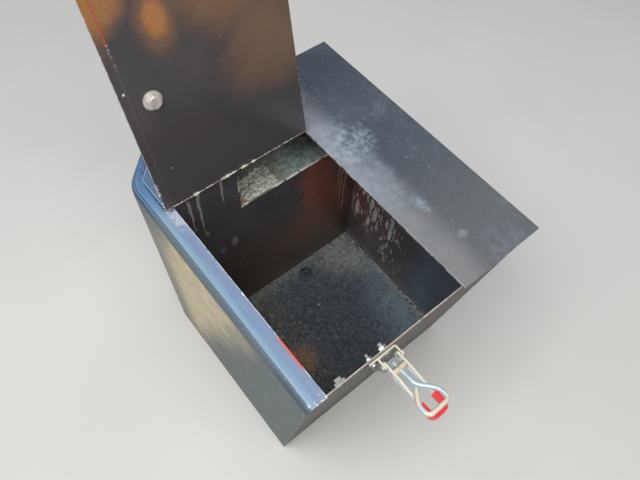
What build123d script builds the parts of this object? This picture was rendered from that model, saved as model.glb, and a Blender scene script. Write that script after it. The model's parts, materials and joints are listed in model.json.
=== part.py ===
from build123d import *
import math
import os

# Side storage box of a compact wheel loader, with a hinged lid that stands open and a toggle latch.
# Millimetres, Z up. +X runs along the machine from the lid's hinge to the latch, +Y towards the chassis.
# Everything is laid out from the rim's inner near corner, where the rim flange meets the near end plate,
# and moved at the end so that the origin is the middle of the chassis bolt pattern.

# Opening and box
opening_length = 300.0
opening_width = 210.0
box_depth = 380.0
box_width = 330.0
sheet = 3.0
skirt_drop = 12.0
end_undercut = 50.0

# Folded skin: a flat rim flange, a round bend, a wall that leans in, and a 45 degree far corner
flange_flat = 18.0
bend_radius = 10.0
wall_lean = 7.0
bay_length = 66.0
corner_cut = 60.0
corner_radius = 45.0

# Cable notch in the hinge wall, the ledge behind it, and the drain
notch_start = 96.0
notch_end = 290.0
notch_depth = 84.0
drain_diameter = 20.0
drain_from_hinge = 24.0
drain_from_rim = 208.0

# Shelf, fixed cover and the small rest tab on the end plate
shelf_beyond_wall = 15.0
shelf_overlap = 5.0
cover_inset = 16.0
cover_gap = 2.0
tab_length = 7.5
tab_width = 8.0
tab_place = 21.0
tab_foot_width = 14.0
tab_foot = 3.5
tab_below_rim = 1.5

# Chassis brackets and their bolt pattern
bolt_spacing_x = 240.0
bolt_spacing_z = 160.0
bolt_hole_diameter = 13.5
bracket_thickness = 6.0
bracket_leg = 50.0
bracket_stand_off = 40.0
bracket_height = 220.0
bracket_bend = 4.0
pattern_from_hinge = 110.0
pattern_below_rim = 200.0

# Lid with an upturned near edge, its continuous hinge and its stops
lid_sheet = 3.0
lid_rim_gap = 0.5
lid_lap = 12.0
lid_shelf_gap = 2.5
lid_bend = 6.0
lid_corner = 8.0
lid_end_cover = 5.0
lid_open_angle = 103.2
knuckle_radius = 3.5
hinge_pin_radius = 2.0
hinge_fit = 0.05
hinge_leaf = 1.5
hinge_leaf_width = 24.0
hinge_margin = 4.0
knuckle_count = 5
knuckle_gap = 0.5
knuckle_clear = 0.3
hinge_gap = 1.0
stop_thickness = 4.0
stop_height = 58.0
stop_foot = 32.0
stop_nose = 20.0
stop_crown = 8.0
stop_gap = 0.2
stop_leaf_gap = 2.0
stop_inset = 45.0
stud_flange_diameter = 22.0
stud_flange = 1.5
stud_cone = 3.0
stud_across_flats = 15.0
stud_height = 8.0
stud_chamfer = 1.0
stud_from_hinge = 146.0
stud_from_rim = 20.5

# Toggle latch: base bracket, lever, grip, trunnion and the screwed loop
latch_centre = 83.75
latch_base_width = 29.0
latch_plate = 2.5
latch_base_bend = 1.5
latch_base_height = 44.0
latch_below_rim = 1.5
latch_foot = 11.0
latch_foot_height = 20.0
pivot_out = 12.0
pivot_down = 7.0
ear_radius = 5.5
ear_toe = 4.0
rivet_radius = 2.5
rivet_head_radius = 4.0
rivet_head = 1.8
rivet_fit = 0.05
lever_angle = 3.0
lever_swing = 95.0
lever_length = 74.5
lever_strip = 2.5
lever_side_gap = 0.5
lever_heel = 5.0
lever_root_height = 10.0
lever_tip_height = 5.0
lever_corner = 2.0
lever_shoulder = 3.0
lever_taper = 12.0
lever_bend = 6.0
grip_length = 20.0
grip_thickness = 6.5
grip_height = 8.0
trunnion_reach = 11.0
trunnion_radius = 4.5
trunnion_journal = 3.0
trunnion_fit = 0.05
trunnion_side_gap = 0.3
loop_rest_angle = 13.2
rod_radius = 3.0
rod_tail = 8.5
rod_stem = 25.0
fork_bend = 12.0
loop_shoulder = 44.5
shoulder_bend = 20.0
loop_reach = 60.0
loop_half_width = 15.5
loop_bend = 6.0

# Strike on the lid's upstand, where the closed latch's loop comes to lie
strike_width = 16.0
strike_plate = 2.0
strike_play = 0.5
strike_below_edge = 7.0
strike_strap = 14.0
strike_reach = 11.0
strike_lip = 5.0

# Latch bolts: place across the box, below the rim, shank radius, head radius and height, nut height, tail
latch_bolts = [
    # (across, below rim, shank, head, head height, nut radius, nut height, tail)
    (-18.75, 10.0, 2.0, 4.0, 2.8, 4.0, 3.2, 5.0),
    (1.75, 9.5, 3.0, 4.6, 1.0, 5.8, 4.0, 4.5),
]
bolt_fit = 0.25

# How far a cut runs past what it cuts
cut_margin = 10.0

# Worked out from the sizes above
rim_out = flange_flat + bend_radius
skin_height = box_depth + sheet + skirt_drop
undercut_slope = end_undercut / skin_height
undercut_angle = math.degrees(math.atan(undercut_slope))
hinge_x = -opening_length
far_x = hinge_x - bay_length - corner_cut
machine_y = box_width + sheet
bracket_y = machine_y + bracket_stand_off
mount_point = (hinge_x + pattern_from_hinge, bracket_y, -pattern_below_rim)

pin_x = hinge_x - hinge_gap / 2
pin_z = lid_rim_gap + lid_sheet + knuckle_radius
lid_hinge_end = pin_x + hinge_gap
lid_near_end = lid_end_cover
lid_y0 = -lid_lap
lid_y1 = opening_width - lid_shelf_gap
lid_top = lid_rim_gap + lid_sheet

pivot_point = (sheet + pivot_out, latch_centre, -pivot_down)
trunnion_point = (pivot_point[0] + trunnion_reach, latch_centre, pivot_point[2])
lever_half = latch_base_width / 2 - latch_plate - lever_side_gap
latch_stack = (sheet + latch_plate) * math.cos(math.atan(undercut_slope))

swung = math.radians(lever_swing)
closed_trunnion_x = pivot_point[0] + trunnion_reach * math.cos(swung)
closed_trunnion_z = pivot_point[2] - trunnion_reach * math.sin(swung)
closed_bar_x = lid_near_end + rod_radius + strike_play
closed_bar_z = closed_trunnion_z + math.sqrt(loop_reach**2 - (closed_trunnion_x - closed_bar_x) ** 2)
strike_seat = closed_bar_z - rod_radius
lid_upstand = strike_seat + strike_below_edge


def block(x, y, z):
    """A box between pairs of x, y and z."""
    size = (x[1] - x[0], y[1] - y[0], z[1] - z[0])
    return Pos((x[0] + x[1]) / 2, (y[0] + y[1]) / 2, (z[0] + z[1]) / 2) * Box(*size)


def prism_y(points, y0, y1):
    """A solid with an outline in x and z, from y0 to y1."""
    face = make_face(Polyline(*[(x, y0, z) for x, z in points], close=True))
    return extrude(face, amount=y1 - y0, dir=(0, 1, 0))


def rod_y(radius, x, z, y0, y1):
    """A round bar along Y."""
    return Pos(x, (y0 + y1) / 2, z) * Rot(90, 0, 0) * Cylinder(radius, y1 - y0)


def rod_x(radius, x0, x1, y, z):
    """A round bar along X."""
    return Pos((x0 + x1) / 2, y, z) * Rot(0, 90, 0) * Cylinder(radius, x1 - x0)


def turned(points):
    """A solid turned about Z, from its outline in radius and height."""
    return revolve(make_face(Polyline(*[(r, 0, z) for r, z in points], close=True)), axis=Axis.Z)


def near_plane_x(offset, z):
    """X of a plane parallel to the undercut near end, at a height under the rim."""
    return offset + undercut_slope * z


def near_slab(inner, outer, bottom=None, top=0.0):
    """Everything between two planes parallel to the near end."""
    bottom = -skin_height if bottom is None else bottom
    points = [
        (near_plane_x(inner, top), top),
        (near_plane_x(outer, top), top),
        (near_plane_x(outer, bottom), bottom),
        (near_plane_x(inner, bottom), bottom),
    ]
    return prism_y(points, -rim_out - cut_margin, bracket_y + cut_margin)


def past_near_end(offset):
    """Everything outside a plane parallel to the near end, to trim what ends at it."""
    reach = end_undercut + 3 * cut_margin
    return near_slab(offset, offset + reach, -skin_height - cut_margin, cut_margin)


def plan_outline(points, z, turns=()):
    """A flat outline at a height, with some of its corners rounded: turns holds (points, radius) pairs."""
    face = make_face(Polyline(*[(x, y, z) for x, y in points], close=True))
    for corners, radius in turns:
        found = [v for v in face.vertices() for p in corners if math.dist((v.X, v.Y), p) < 0.01]
        face = fillet(found, radius=radius)
    return face


def skin_profile():
    """Section of the folded skin: distance in from the outer face, and height."""
    edges = [
        Line((rim_out, 0), (bend_radius, 0)),
        CenterArc((bend_radius, -bend_radius), bend_radius, 90, 90),
        Line((0, -bend_radius), (wall_lean, -skin_height)),
        Line((wall_lean, -skin_height), (wall_lean + sheet, -skin_height)),
        Line((wall_lean + sheet, -skin_height), (sheet, -bend_radius)),
        CenterArc((bend_radius, -bend_radius), bend_radius - sheet, 90, 90),
        Line((bend_radius, -sheet), (rim_out, -sheet)),
        Line((rim_out, -sheet), (rim_out, 0)),
    ]
    return make_face(edges)


def inside_profile(reach):
    """Outline of a plate that fills the skin's section, out to a reach from its outer face."""
    edges = [
        Line((rim_out, 0), (reach, 0)),
        Line((reach, 0), (reach, -skin_height)),
        Line((reach, -skin_height), (wall_lean + sheet, -skin_height)),
        Line((wall_lean + sheet, -skin_height), (sheet, -bend_radius)),
        CenterArc((bend_radius, -bend_radius), bend_radius - sheet, 90, 90),
        Line((bend_radius, -sheet), (rim_out, -sheet)),
        Line((rim_out, -sheet), (rim_out, 0)),
    ]
    return make_face(edges)


def across(face, x, length):
    """Stands a section up across the box at x and extrudes it along X."""
    plane = Plane(origin=(x, -rim_out, 0), x_dir=(0, 1, 0), z_dir=(1, 0, 0))
    return extrude(plane * face, amount=length, dir=(1, 0, 0))


def bay_outline(inset, near_x, machine_edge, z):
    """Plan of the far bay inside the skin's corner, at an inset from the skin's outer face."""
    shift = inset * math.tan(math.radians(22.5))
    near_turn = hinge_x - bay_length
    points = [
        (near_x, inset - rim_out),
        (near_turn + shift, inset - rim_out),
        (far_x + inset, corner_cut - rim_out + shift),
        (far_x + inset, machine_edge),
        (near_x, machine_edge),
    ]
    return plan_outline(points, z, [(points[1:3], corner_radius - inset)])


def outer_skin():
    start = sheet + cut_margin
    path = FilletPolyline(
        (start, -rim_out, 0),
        (hinge_x - bay_length, -rim_out, 0),
        (far_x, corner_cut - rim_out, 0),
        (far_x, machine_y, 0),
        radius=corner_radius,
    )
    plane = Plane(origin=(start, -rim_out, 0), x_dir=(0, 1, 0), z_dir=(1, 0, 0))
    skin = sweep(plane * skin_profile(), path=path)
    return skin - past_near_end(sheet)


def near_end_plate():
    length = end_undercut + 2 * cut_margin
    plate = across(inside_profile(machine_y + rim_out), cut_margin - length, length)
    plate = plate & near_slab(0, sheet)
    for hole in latch_bolt_holes():
        plate = plate - hole
    return plate


def rest_tab():
    """A tongue on a wider foot, against the inside of the near end plate."""
    height = (-tab_below_rim - sheet, -tab_below_rim)
    tab = block((-tab_length, 0), (tab_place - tab_width / 2, tab_place + tab_width / 2), height)
    tab = tab + block((-tab_foot, 0), (tab_place - tab_foot_width / 2, tab_place + tab_foot_width / 2), height)
    return tab - past_near_end(0)


def hinge_wall():
    wall = across(inside_profile(box_width + rim_out), hinge_x - sheet, sheet)
    through = (hinge_x - cut_margin, hinge_x + cut_margin)
    notch = block(through, (notch_start, notch_end), (-notch_depth, cut_margin))
    return wall - notch


def inner_wall():
    plane = Plane(origin=(far_x, box_width, 0), x_dir=(1, 0, 0), z_dir=(0, -1, 0))
    face = inside_profile(cut_margin - far_x)
    wall = extrude(plane * face, amount=sheet, dir=(0, 1, 0))
    return wall - past_near_end(0)


def floor_plate():
    skin_face = -rim_out + sheet + wall_lean * (box_depth + sheet - bend_radius) / (skin_height - bend_radius)
    floor = block((hinge_x, 0), (skin_face, box_width), (-box_depth - sheet, -box_depth))
    place = Pos(hinge_x + drain_from_hinge, drain_from_rim, -box_depth)
    drain = place * Cylinder(drain_diameter / 2, 2 * cut_margin)
    return floor - past_near_end(0) - drain


def ledge_plate():
    lean_here = wall_lean * (notch_depth + sheet - bend_radius) / (skin_height - bend_radius)
    inset = sheet + lean_here
    face = bay_outline(inset, hinge_x - sheet, box_width, -notch_depth - sheet)
    return extrude(face, amount=sheet, dir=(0, 0, 1))


def shelf_plate():
    return block((far_x, shelf_overlap), (opening_width, machine_y + shelf_beyond_wall), (0, sheet))


def fixed_cover():
    face = bay_outline(cover_inset, hinge_x - sheet / 2, opening_width - cover_gap, 0)
    return extrude(face, amount=sheet, dir=(0, 0, 1))


def chassis_bracket(side):
    """Z-section bracket: one leg on the inner wall, the other on the chassis with two bolt holes."""
    hole_x = mount_point[0] + side * bolt_spacing_x / 2
    web = hole_x - side * bracket_leg / 2
    wall_leg = web - side * (bracket_leg - bracket_thickness)
    chassis_leg = web + side * bracket_leg
    inner_web = web + side * bracket_thickness
    points = [
        (wall_leg, machine_y),
        (inner_web, machine_y),
        (inner_web, bracket_y - bracket_thickness),
        (chassis_leg, bracket_y - bracket_thickness),
        (chassis_leg, bracket_y),
        (web, bracket_y),
        (web, machine_y + bracket_thickness),
        (wall_leg, machine_y + bracket_thickness),
    ]
    inner_turns = (points[2], points[6])
    outer_turns = (points[1], points[5])
    turns = [(inner_turns, bracket_bend), (outer_turns, bracket_bend + bracket_thickness)]
    face = plan_outline(points, mount_point[2] - bracket_height / 2, turns)
    bracket = extrude(face, amount=bracket_height, dir=(0, 0, 1))
    drill = (bracket_y - bracket_thickness - cut_margin, bracket_y + cut_margin)
    for level in (-1, 1):
        hole_z = mount_point[2] + level * bolt_spacing_z / 2
        bracket = bracket - rod_y(bolt_hole_diameter / 2, hole_x, hole_z, *drill)
    return bracket


def knuckle_spans(first):
    """Y spans of every second knuckle along the hinge."""
    start = lid_y0 + hinge_margin
    pitch = (lid_y1 - hinge_margin - start) / knuckle_count
    return [
        (start + i * pitch + knuckle_gap / 2, start + (i + 1) * pitch - knuckle_gap / 2)
        for i in range(first, knuckle_count, 2)
    ]


def hinge_half(side, first, underside):
    """One leaf of the continuous hinge with its knuckles; side is -1 on the cover and 1 on the lid."""
    clear = knuckle_radius + 2 * hinge_fit + knuckle_clear
    y0 = lid_y0 + hinge_margin
    y1 = lid_y1 - hinge_margin
    near, far = sorted((pin_x + side * clear, pin_x + side * hinge_leaf_width))
    half = block((near, far), (y0, y1), (underside, underside + hinge_leaf))
    root_top = pin_z - hinge_pin_radius - 2 * hinge_fit
    for a, b in knuckle_spans(first):
        low, high = sorted((pin_x, pin_x + side * (clear + hinge_leaf)))
        half = half + block((low, high), (a, b), (underside, min(underside + hinge_leaf, root_top)))
        half = half + rod_y(knuckle_radius, pin_x, pin_z, a, b)
    return half - rod_y(hinge_pin_radius + hinge_fit, pin_x, pin_z, y0 - cut_margin, y1 + cut_margin)


def hinge_pin():
    return rod_y(hinge_pin_radius, pin_x, pin_z, lid_y0 + hinge_margin, lid_y1 - hinge_margin)


def opened(shape):
    """Turns a piece of the closed lid about the hinge pin to where it stands open."""
    pin = Pos(pin_x, 0, pin_z)
    return pin * Rot(0, -lid_open_angle, 0) * pin.inverse() * shape


def lid_plate():
    r = lid_bend
    low, top = lid_rim_gap, lid_upstand
    inner = r - lid_sheet
    end = lid_near_end
    edges = [
        Line((lid_hinge_end, low), (end - r, low)),
        CenterArc((end - r, low + r), r, -90, 90),
        Line((end, low + r), (end, top)),
        Line((end, top), (end - lid_sheet, top)),
        Line((end - lid_sheet, top), (end - lid_sheet, low + r)),
        CenterArc((end - r, low + r), inner, -90, 90),
        Line((end - r, low + lid_sheet), (lid_hinge_end, low + lid_sheet)),
        Line((lid_hinge_end, low + lid_sheet), (lid_hinge_end, low)),
    ]
    plane = Plane(origin=(0, lid_y0, 0), x_dir=(1, 0, 0), z_dir=(0, -1, 0))
    plate = extrude(plane * make_face(edges), amount=lid_y1 - lid_y0, dir=(0, 1, 0))
    upper_corners = plate.edges().filter_by(Axis.X).group_by(Axis.Z)[-1]
    return opened(fillet(upper_corners, radius=lid_corner))


def lid_stud():
    """Flanged hexagon head under the lid."""
    flat = stud_across_flats / 2
    corner = flat / math.cos(math.pi / 6)
    flange = [
        (0, 0),
        (stud_flange_diameter / 2, 0),
        (stud_flange_diameter / 2, stud_flange),
        (flat, stud_cone),
        (0, stud_cone),
    ]
    crown = [
        (0, 0),
        (corner + stud_chamfer, 0),
        (corner + stud_chamfer, stud_height - 2 * stud_chamfer),
        (flat - stud_chamfer, stud_height),
        (0, stud_height),
    ]
    head = extrude(RegularPolygon(corner, 6), amount=stud_height) & turned(crown)
    place = Pos(hinge_x + stud_from_hinge, stud_from_rim, lid_rim_gap) * Rot(180, 0, 0)
    return opened(place * (turned(flange) + head))


def strike():
    face = lid_near_end
    low = strike_seat
    points = [
        (face, low - strike_strap),
        (face + strike_plate, low - strike_strap),
        (face + strike_plate, low - strike_plate),
        (face + strike_reach, low - strike_plate),
        (face + strike_reach, low + strike_lip),
        (face + strike_reach - strike_plate, low + strike_lip),
        (face + strike_reach - strike_plate, low),
        (face, low),
    ]
    half = strike_width / 2
    return opened(prism_y(points, latch_centre - half, latch_centre + half))


def lid_stop(y):
    """Gusset on the fixed cover whose nose the open lid leans on."""
    lean = math.radians(lid_open_angle)
    along = (math.cos(lean), math.sin(lean))
    outward = (-math.sin(lean), math.cos(lean))
    face_off = -knuckle_radius + stop_gap

    def on_lid(distance):
        return (
            pin_x + along[0] * distance + outward[0] * face_off,
            pin_z + along[1] * distance + outward[1] * face_off,
        )

    top = on_lid(stop_height)
    nose = on_lid(stop_height - stop_nose)
    front = pin_x - hinge_leaf_width - stop_leaf_gap
    points = [
        (front, sheet),
        nose,
        top,
        (top[0] - stop_crown, top[1]),
        (front - stop_foot, sheet + stop_crown),
        (front - stop_foot, sheet),
    ]
    return prism_y(points, y - stop_thickness / 2, y + stop_thickness / 2)


def bolt_axis(across_latch, below):
    """Where a latch bolt's head seats, with the local Z square to the undercut end and pointing out."""
    seat = (near_plane_x(sheet + latch_plate, -below), latch_centre + across_latch, -below)
    return Pos(*seat) * Rot(0, 90 + undercut_angle, 0)


def latch_bolt_holes():
    length = 2 * (latch_stack + cut_margin)
    return [
        bolt_axis(across_latch, below) * Cylinder(shank + bolt_fit, length)
        for across_latch, below, shank, *_ in latch_bolts
    ]


def latch_base():
    """U bracket bent from strip: a back on the near end plate, two ears and a foot for the side bolt."""
    top = -latch_below_rim
    low = top - latch_base_height
    y0 = latch_centre - latch_base_width / 2
    y1 = latch_centre + latch_base_width / 2
    px, _, pz = pivot_point
    front = px + ear_radius + end_undercut
    points = [
        (front, y0),
        (0, y0),
        (0, y1),
        (front, y1),
        (front, y1 - latch_plate),
        (latch_plate, y1 - latch_plate),
        (latch_plate, y0 + latch_plate),
        (front, y0 + latch_plate),
    ]
    turns = [(points[1:3], latch_base_bend + latch_plate), (points[5:7], latch_base_bend)]
    start = low - 2 * cut_margin
    strip = extrude(plan_outline(points, 0, turns), amount=latch_base_height + 4 * cut_margin)
    strip = Pos(near_plane_x(sheet, start), 0, start) * Rot(0, undercut_angle, 0) * strip
    ear = [
        (near_plane_x(0, top), top),
        (px, top),
        (px + ear_radius, pz),
        (px, pz - ear_radius),
        (near_plane_x(sheet + latch_plate, low) + ear_toe, low),
        (near_plane_x(0, low), low),
    ]
    side = prism_y(ear, y0, y1) + rod_y(ear_radius, px, pz, y0, y1)
    body = strip & side
    foot = near_slab(sheet, sheet + latch_plate, top - latch_foot_height, top)
    foot = foot & block((0, front), (y0 - latch_foot, y0 + latch_base_bend + latch_plate), (low, 0))
    body = body + foot
    body = body - rod_y(rivet_radius, px, pz, y0 - cut_margin, y1 + cut_margin)
    for hole in latch_bolt_holes():
        body = body - hole
    return body


def latch_bolt(across_latch, below, shank, head, head_height, nut, nut_height, tail):
    """Round head outside, hexagon nut and thread end inside the box."""
    length = latch_stack + nut_height + tail
    hexagon = extrude(RegularPolygon(nut, 6), amount=nut_height)
    bolt = Pos(0, 0, head_height / 2) * Cylinder(head, head_height)
    bolt = bolt + Pos(0, 0, -length / 2) * Cylinder(shank, length)
    bolt = bolt + Pos(0, 0, -latch_stack - nut_height) * hexagon
    return bolt_axis(across_latch, below) * bolt


def lever_rivets():
    """Two stub rivets that carry the lever in the ears."""
    px, _, pz = pivot_point
    half = latch_base_width / 2
    pieces = []
    for side in (-1, 1):
        outer = latch_centre + side * half
        inner = latch_centre + side * (lever_half - lever_strip)
        a, b = sorted((outer, inner))
        shank = rod_y(rivet_radius, px, pz, a, b)
        c, d = sorted((outer, outer + side * rivet_head))
        pieces.append(shank + rod_y(rivet_head_radius, px, pz, c, d))
    return Compound(children=pieces)


def on_lever(shape):
    """Places a piece of the lever, drawn lying along X from its pivot, where the lever stands."""
    return Pos(*pivot_point) * Rot(0, -lever_angle, 0) * shape


def lever_path(start):
    middle = lever_half - lever_strip / 2
    end = lever_length - lever_strip / 2
    return FilletPolyline(
        (start, -middle, 0), (end, -middle, 0), (end, middle, 0), (start, middle, 0), radius=lever_bend
    )


def lever_band(start, thickness, height):
    """A strip on edge bent to the lever's U."""
    path = lever_path(start)
    plane = Plane(origin=path @ 0, x_dir=(0, 1, 0), z_dir=path % 0)
    return sweep(plane * Rectangle(thickness, height), path=path)


def trunnion_in_lever():
    """The trunnion's place in the lever's own frame."""
    angle = math.radians(lever_angle)
    return (trunnion_reach * math.cos(angle), -trunnion_reach * math.sin(angle))


def lever_strip_body():
    root, tip = lever_root_height / 2, lever_tip_height / 2
    taper = trunnion_reach + 2 * trunnion_radius + lever_shoulder
    end = lever_length + lever_strip
    outline = [
        (-lever_heel, -root + lever_corner),
        (-lever_heel + lever_corner, -root),
        (taper, -root),
        (taper + lever_taper, -tip),
        (end, -tip),
        (end, tip),
        (taper + lever_taper, tip),
        (taper, root),
        (-lever_heel + lever_corner, root),
        (-lever_heel, root - lever_corner),
    ]
    tx, tz = trunnion_in_lever()
    band = lever_band(-lever_heel, lever_strip, lever_root_height)
    band = band & prism_y(outline, -latch_base_width, latch_base_width)
    band = band - rod_y(rivet_radius + rivet_fit, 0, 0, -latch_base_width, latch_base_width)
    return band - rod_y(trunnion_journal + trunnion_fit, tx, tz, -latch_base_width, latch_base_width)


def lever():
    return on_lever(lever_strip_body())


def lever_grip():
    """Vinyl sleeve over the lever's closed end."""
    start = lever_length - grip_length
    return on_lever(lever_band(start, grip_thickness, grip_height) - lever_strip_body())


def on_loop(shape):
    """Places a piece of the loop, drawn lying along X from the trunnion, where it rests on the grip."""
    return Pos(*trunnion_point) * Rot(0, -loop_rest_angle, 0) * shape


def trunnion():
    gap = lever_half - lever_strip - trunnion_side_gap
    bar = rod_y(trunnion_radius, 0, 0, -gap, gap)
    bar = bar + rod_y(trunnion_journal, 0, 0, -lever_half, lever_half)
    return on_loop(bar - rod_x(rod_radius, -cut_margin, cut_margin, 0, 0))


def loop():
    """Screwed rod bent round into a loop with shoulders, its end brought back to the stem's side."""
    corners = [
        (-rod_tail, 0, 0),
        (rod_stem, 0, 0),
        (loop_shoulder, loop_half_width, 0),
        (loop_reach, loop_half_width, 0),
        (loop_reach, -loop_half_width, 0),
        (loop_shoulder, -loop_half_width, 0),
        (rod_stem + rod_radius, -rod_radius * loop_half_width / (loop_shoulder - rod_stem), 0),
    ]
    path = FilletPolyline(*corners, radius=[fork_bend, shoulder_bend, loop_bend, loop_bend, shoulder_bend])
    plane = Plane(origin=path @ 0, z_dir=path % 0)
    return on_loop(sweep(plane * Circle(rod_radius), path=path))


def nodes():
    """Every node's shape, from the rim's inner near corner."""
    stops = [lid_stop(y) for y in (lid_y0 + stop_inset, lid_y1 - stop_inset)]
    return {
        "outer_skin": outer_skin(),
        "near_end_plate": near_end_plate(),
        "rest_tab": rest_tab(),
        "hinge_wall": hinge_wall(),
        "inner_wall": inner_wall(),
        "floor_plate": floor_plate(),
        "ledge_plate": ledge_plate(),
        "shelf_plate": shelf_plate(),
        "fixed_cover": fixed_cover(),
        "chassis_bracket_far": chassis_bracket(-1),
        "chassis_bracket_near": chassis_bracket(1),
        "hinge_fixed_leaf": hinge_half(-1, 0, sheet),
        "hinge_pin": hinge_pin(),
        "lid_stops": Compound(children=stops),
        "latch_base": latch_base(),
        "latch_bolts": Compound(children=[latch_bolt(*row) for row in latch_bolts]),
        "lever_rivets": lever_rivets(),
        "lid_plate": lid_plate(),
        "hinge_lid_leaf": opened(hinge_half(1, 1, lid_top)),
        "lid_stud": lid_stud(),
        "strike": strike(),
        "lever": lever(),
        "lever_grip": lever_grip(),
        "trunnion": trunnion(),
        "loop": loop(),
    }


def main():
    os.makedirs("parts", exist_ok=True)
    place = Pos(*[-c for c in mount_point])
    for name, shape in nodes().items():
        export_step(place * shape, f"parts/{name}.step")
    for name, point in (
        ("lid hinge", (pin_x, (lid_y0 + lid_y1) / 2, pin_z)),
        ("lever pivot", pivot_point),
        ("trunnion", trunnion_point),
        ("rim corner", (0, 0, 0)),
    ):
        moved = [round(c - m, 3) for c, m in zip(point, mount_point)]
        print(name, moved)


if __name__ == "__main__":
    main()
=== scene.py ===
import json
import math
import random

import bmesh
import bpy
from mathutils import Matrix, Vector, noise


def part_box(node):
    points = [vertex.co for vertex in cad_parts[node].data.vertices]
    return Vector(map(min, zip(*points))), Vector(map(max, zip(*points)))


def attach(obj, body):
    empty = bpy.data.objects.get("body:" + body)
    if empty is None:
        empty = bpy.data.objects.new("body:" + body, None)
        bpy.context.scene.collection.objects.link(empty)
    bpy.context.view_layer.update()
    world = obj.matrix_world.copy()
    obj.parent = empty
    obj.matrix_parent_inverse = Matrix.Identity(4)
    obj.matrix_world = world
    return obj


# Metres, in the object's own frame: +X runs from the lid's hinge to the latch, +Y to the chassis, Z up.
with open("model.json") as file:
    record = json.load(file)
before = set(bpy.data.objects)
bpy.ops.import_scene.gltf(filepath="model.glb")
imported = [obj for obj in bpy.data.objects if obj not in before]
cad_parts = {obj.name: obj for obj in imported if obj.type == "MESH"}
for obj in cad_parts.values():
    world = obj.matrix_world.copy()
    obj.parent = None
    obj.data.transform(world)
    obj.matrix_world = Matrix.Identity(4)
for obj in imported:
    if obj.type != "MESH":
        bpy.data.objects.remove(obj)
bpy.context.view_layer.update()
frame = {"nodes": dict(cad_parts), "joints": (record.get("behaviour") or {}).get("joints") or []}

# Boxes read from the frame
SKIN_LOW, SKIN_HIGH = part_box("outer_skin")
INNER_LOW, INNER_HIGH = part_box("inner_wall")
SHELF_LOW, SHELF_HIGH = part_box("shelf_plate")
COVER_LOW, COVER_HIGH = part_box("fixed_cover")
LID_LOW, LID_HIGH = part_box("lid_plate")
STOPS_LOW, STOPS_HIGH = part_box("lid_stops")
JOINTS = {joint["name"]: joint for joint in frame["joints"]}

# Sizes of the solids that no box in the frame gives
SHEET = 0.003
RIM_WIDTH = 0.028
SHELF_OVERHANG = 0.005
NOTCH_START = 0.096
DRAIN_FROM_HINGE = 0.024
DRAIN_FROM_RIM = 0.208
END_UNDERCUT = 0.050
COVER_SLANT = 0.0506

# Edges and faces of the opening, the box and the far bay
RIM = SKIN_HIGH.z
GROUND = SKIN_LOW.z
NEAR = SHELF_HIGH.x - SHELF_OVERHANG
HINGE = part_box("hinge_wall")[1].x
OUTSIDE = SKIN_LOW.y
OPENING_OUT = OUTSIDE + RIM_WIDTH
OPENING_IN = SHELF_LOW.y
BACK = INNER_LOW.y
FLOOR_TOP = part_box("floor_plate")[1].z
LEDGE_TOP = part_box("ledge_plate")[1].z
NOTCH = OPENING_OUT + NOTCH_START
DRAIN = Vector((HINGE + DRAIN_FROM_HINGE, OPENING_OUT + DRAIN_FROM_RIM, FLOOR_TOP))
UNDERCUT = math.atan(END_UNDERCUT / (RIM - GROUND))

SEED = 7


def linear(value):
    """One channel of a screen colour, from 0 to 255, as the light that it stands for."""
    value /= 255
    return value / 12.92 if value <= 0.04045 else ((value + 0.055) / 1.055) ** 2.4


def sign(operation, swapped=False):
    """The method for one sign between two wires, or a wire and a number, in the order written."""
    def work(wire, other):
        values = (other, wire) if swapped else (wire, other)
        return wire.graph.calc(operation, *values)

    return work


class Wire:
    """What comes out of a node. Each plus, minus or times adds a Math node."""

    def __init__(self, graph, socket):
        self.graph = graph
        self.socket = socket

    __add__ = sign("ADD")
    __radd__ = sign("ADD", swapped=True)
    __sub__ = sign("SUBTRACT")
    __rsub__ = sign("SUBTRACT", swapped=True)
    __mul__ = sign("MULTIPLY")

    def __abs__(self):
        return self.graph.calc("ABSOLUTE", self)

    def lay(self, amount, tone):
        """Covers this colour with a tone, fully where amount is 1."""
        self.socket = self.graph.mix(amount, self, tone).socket


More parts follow.
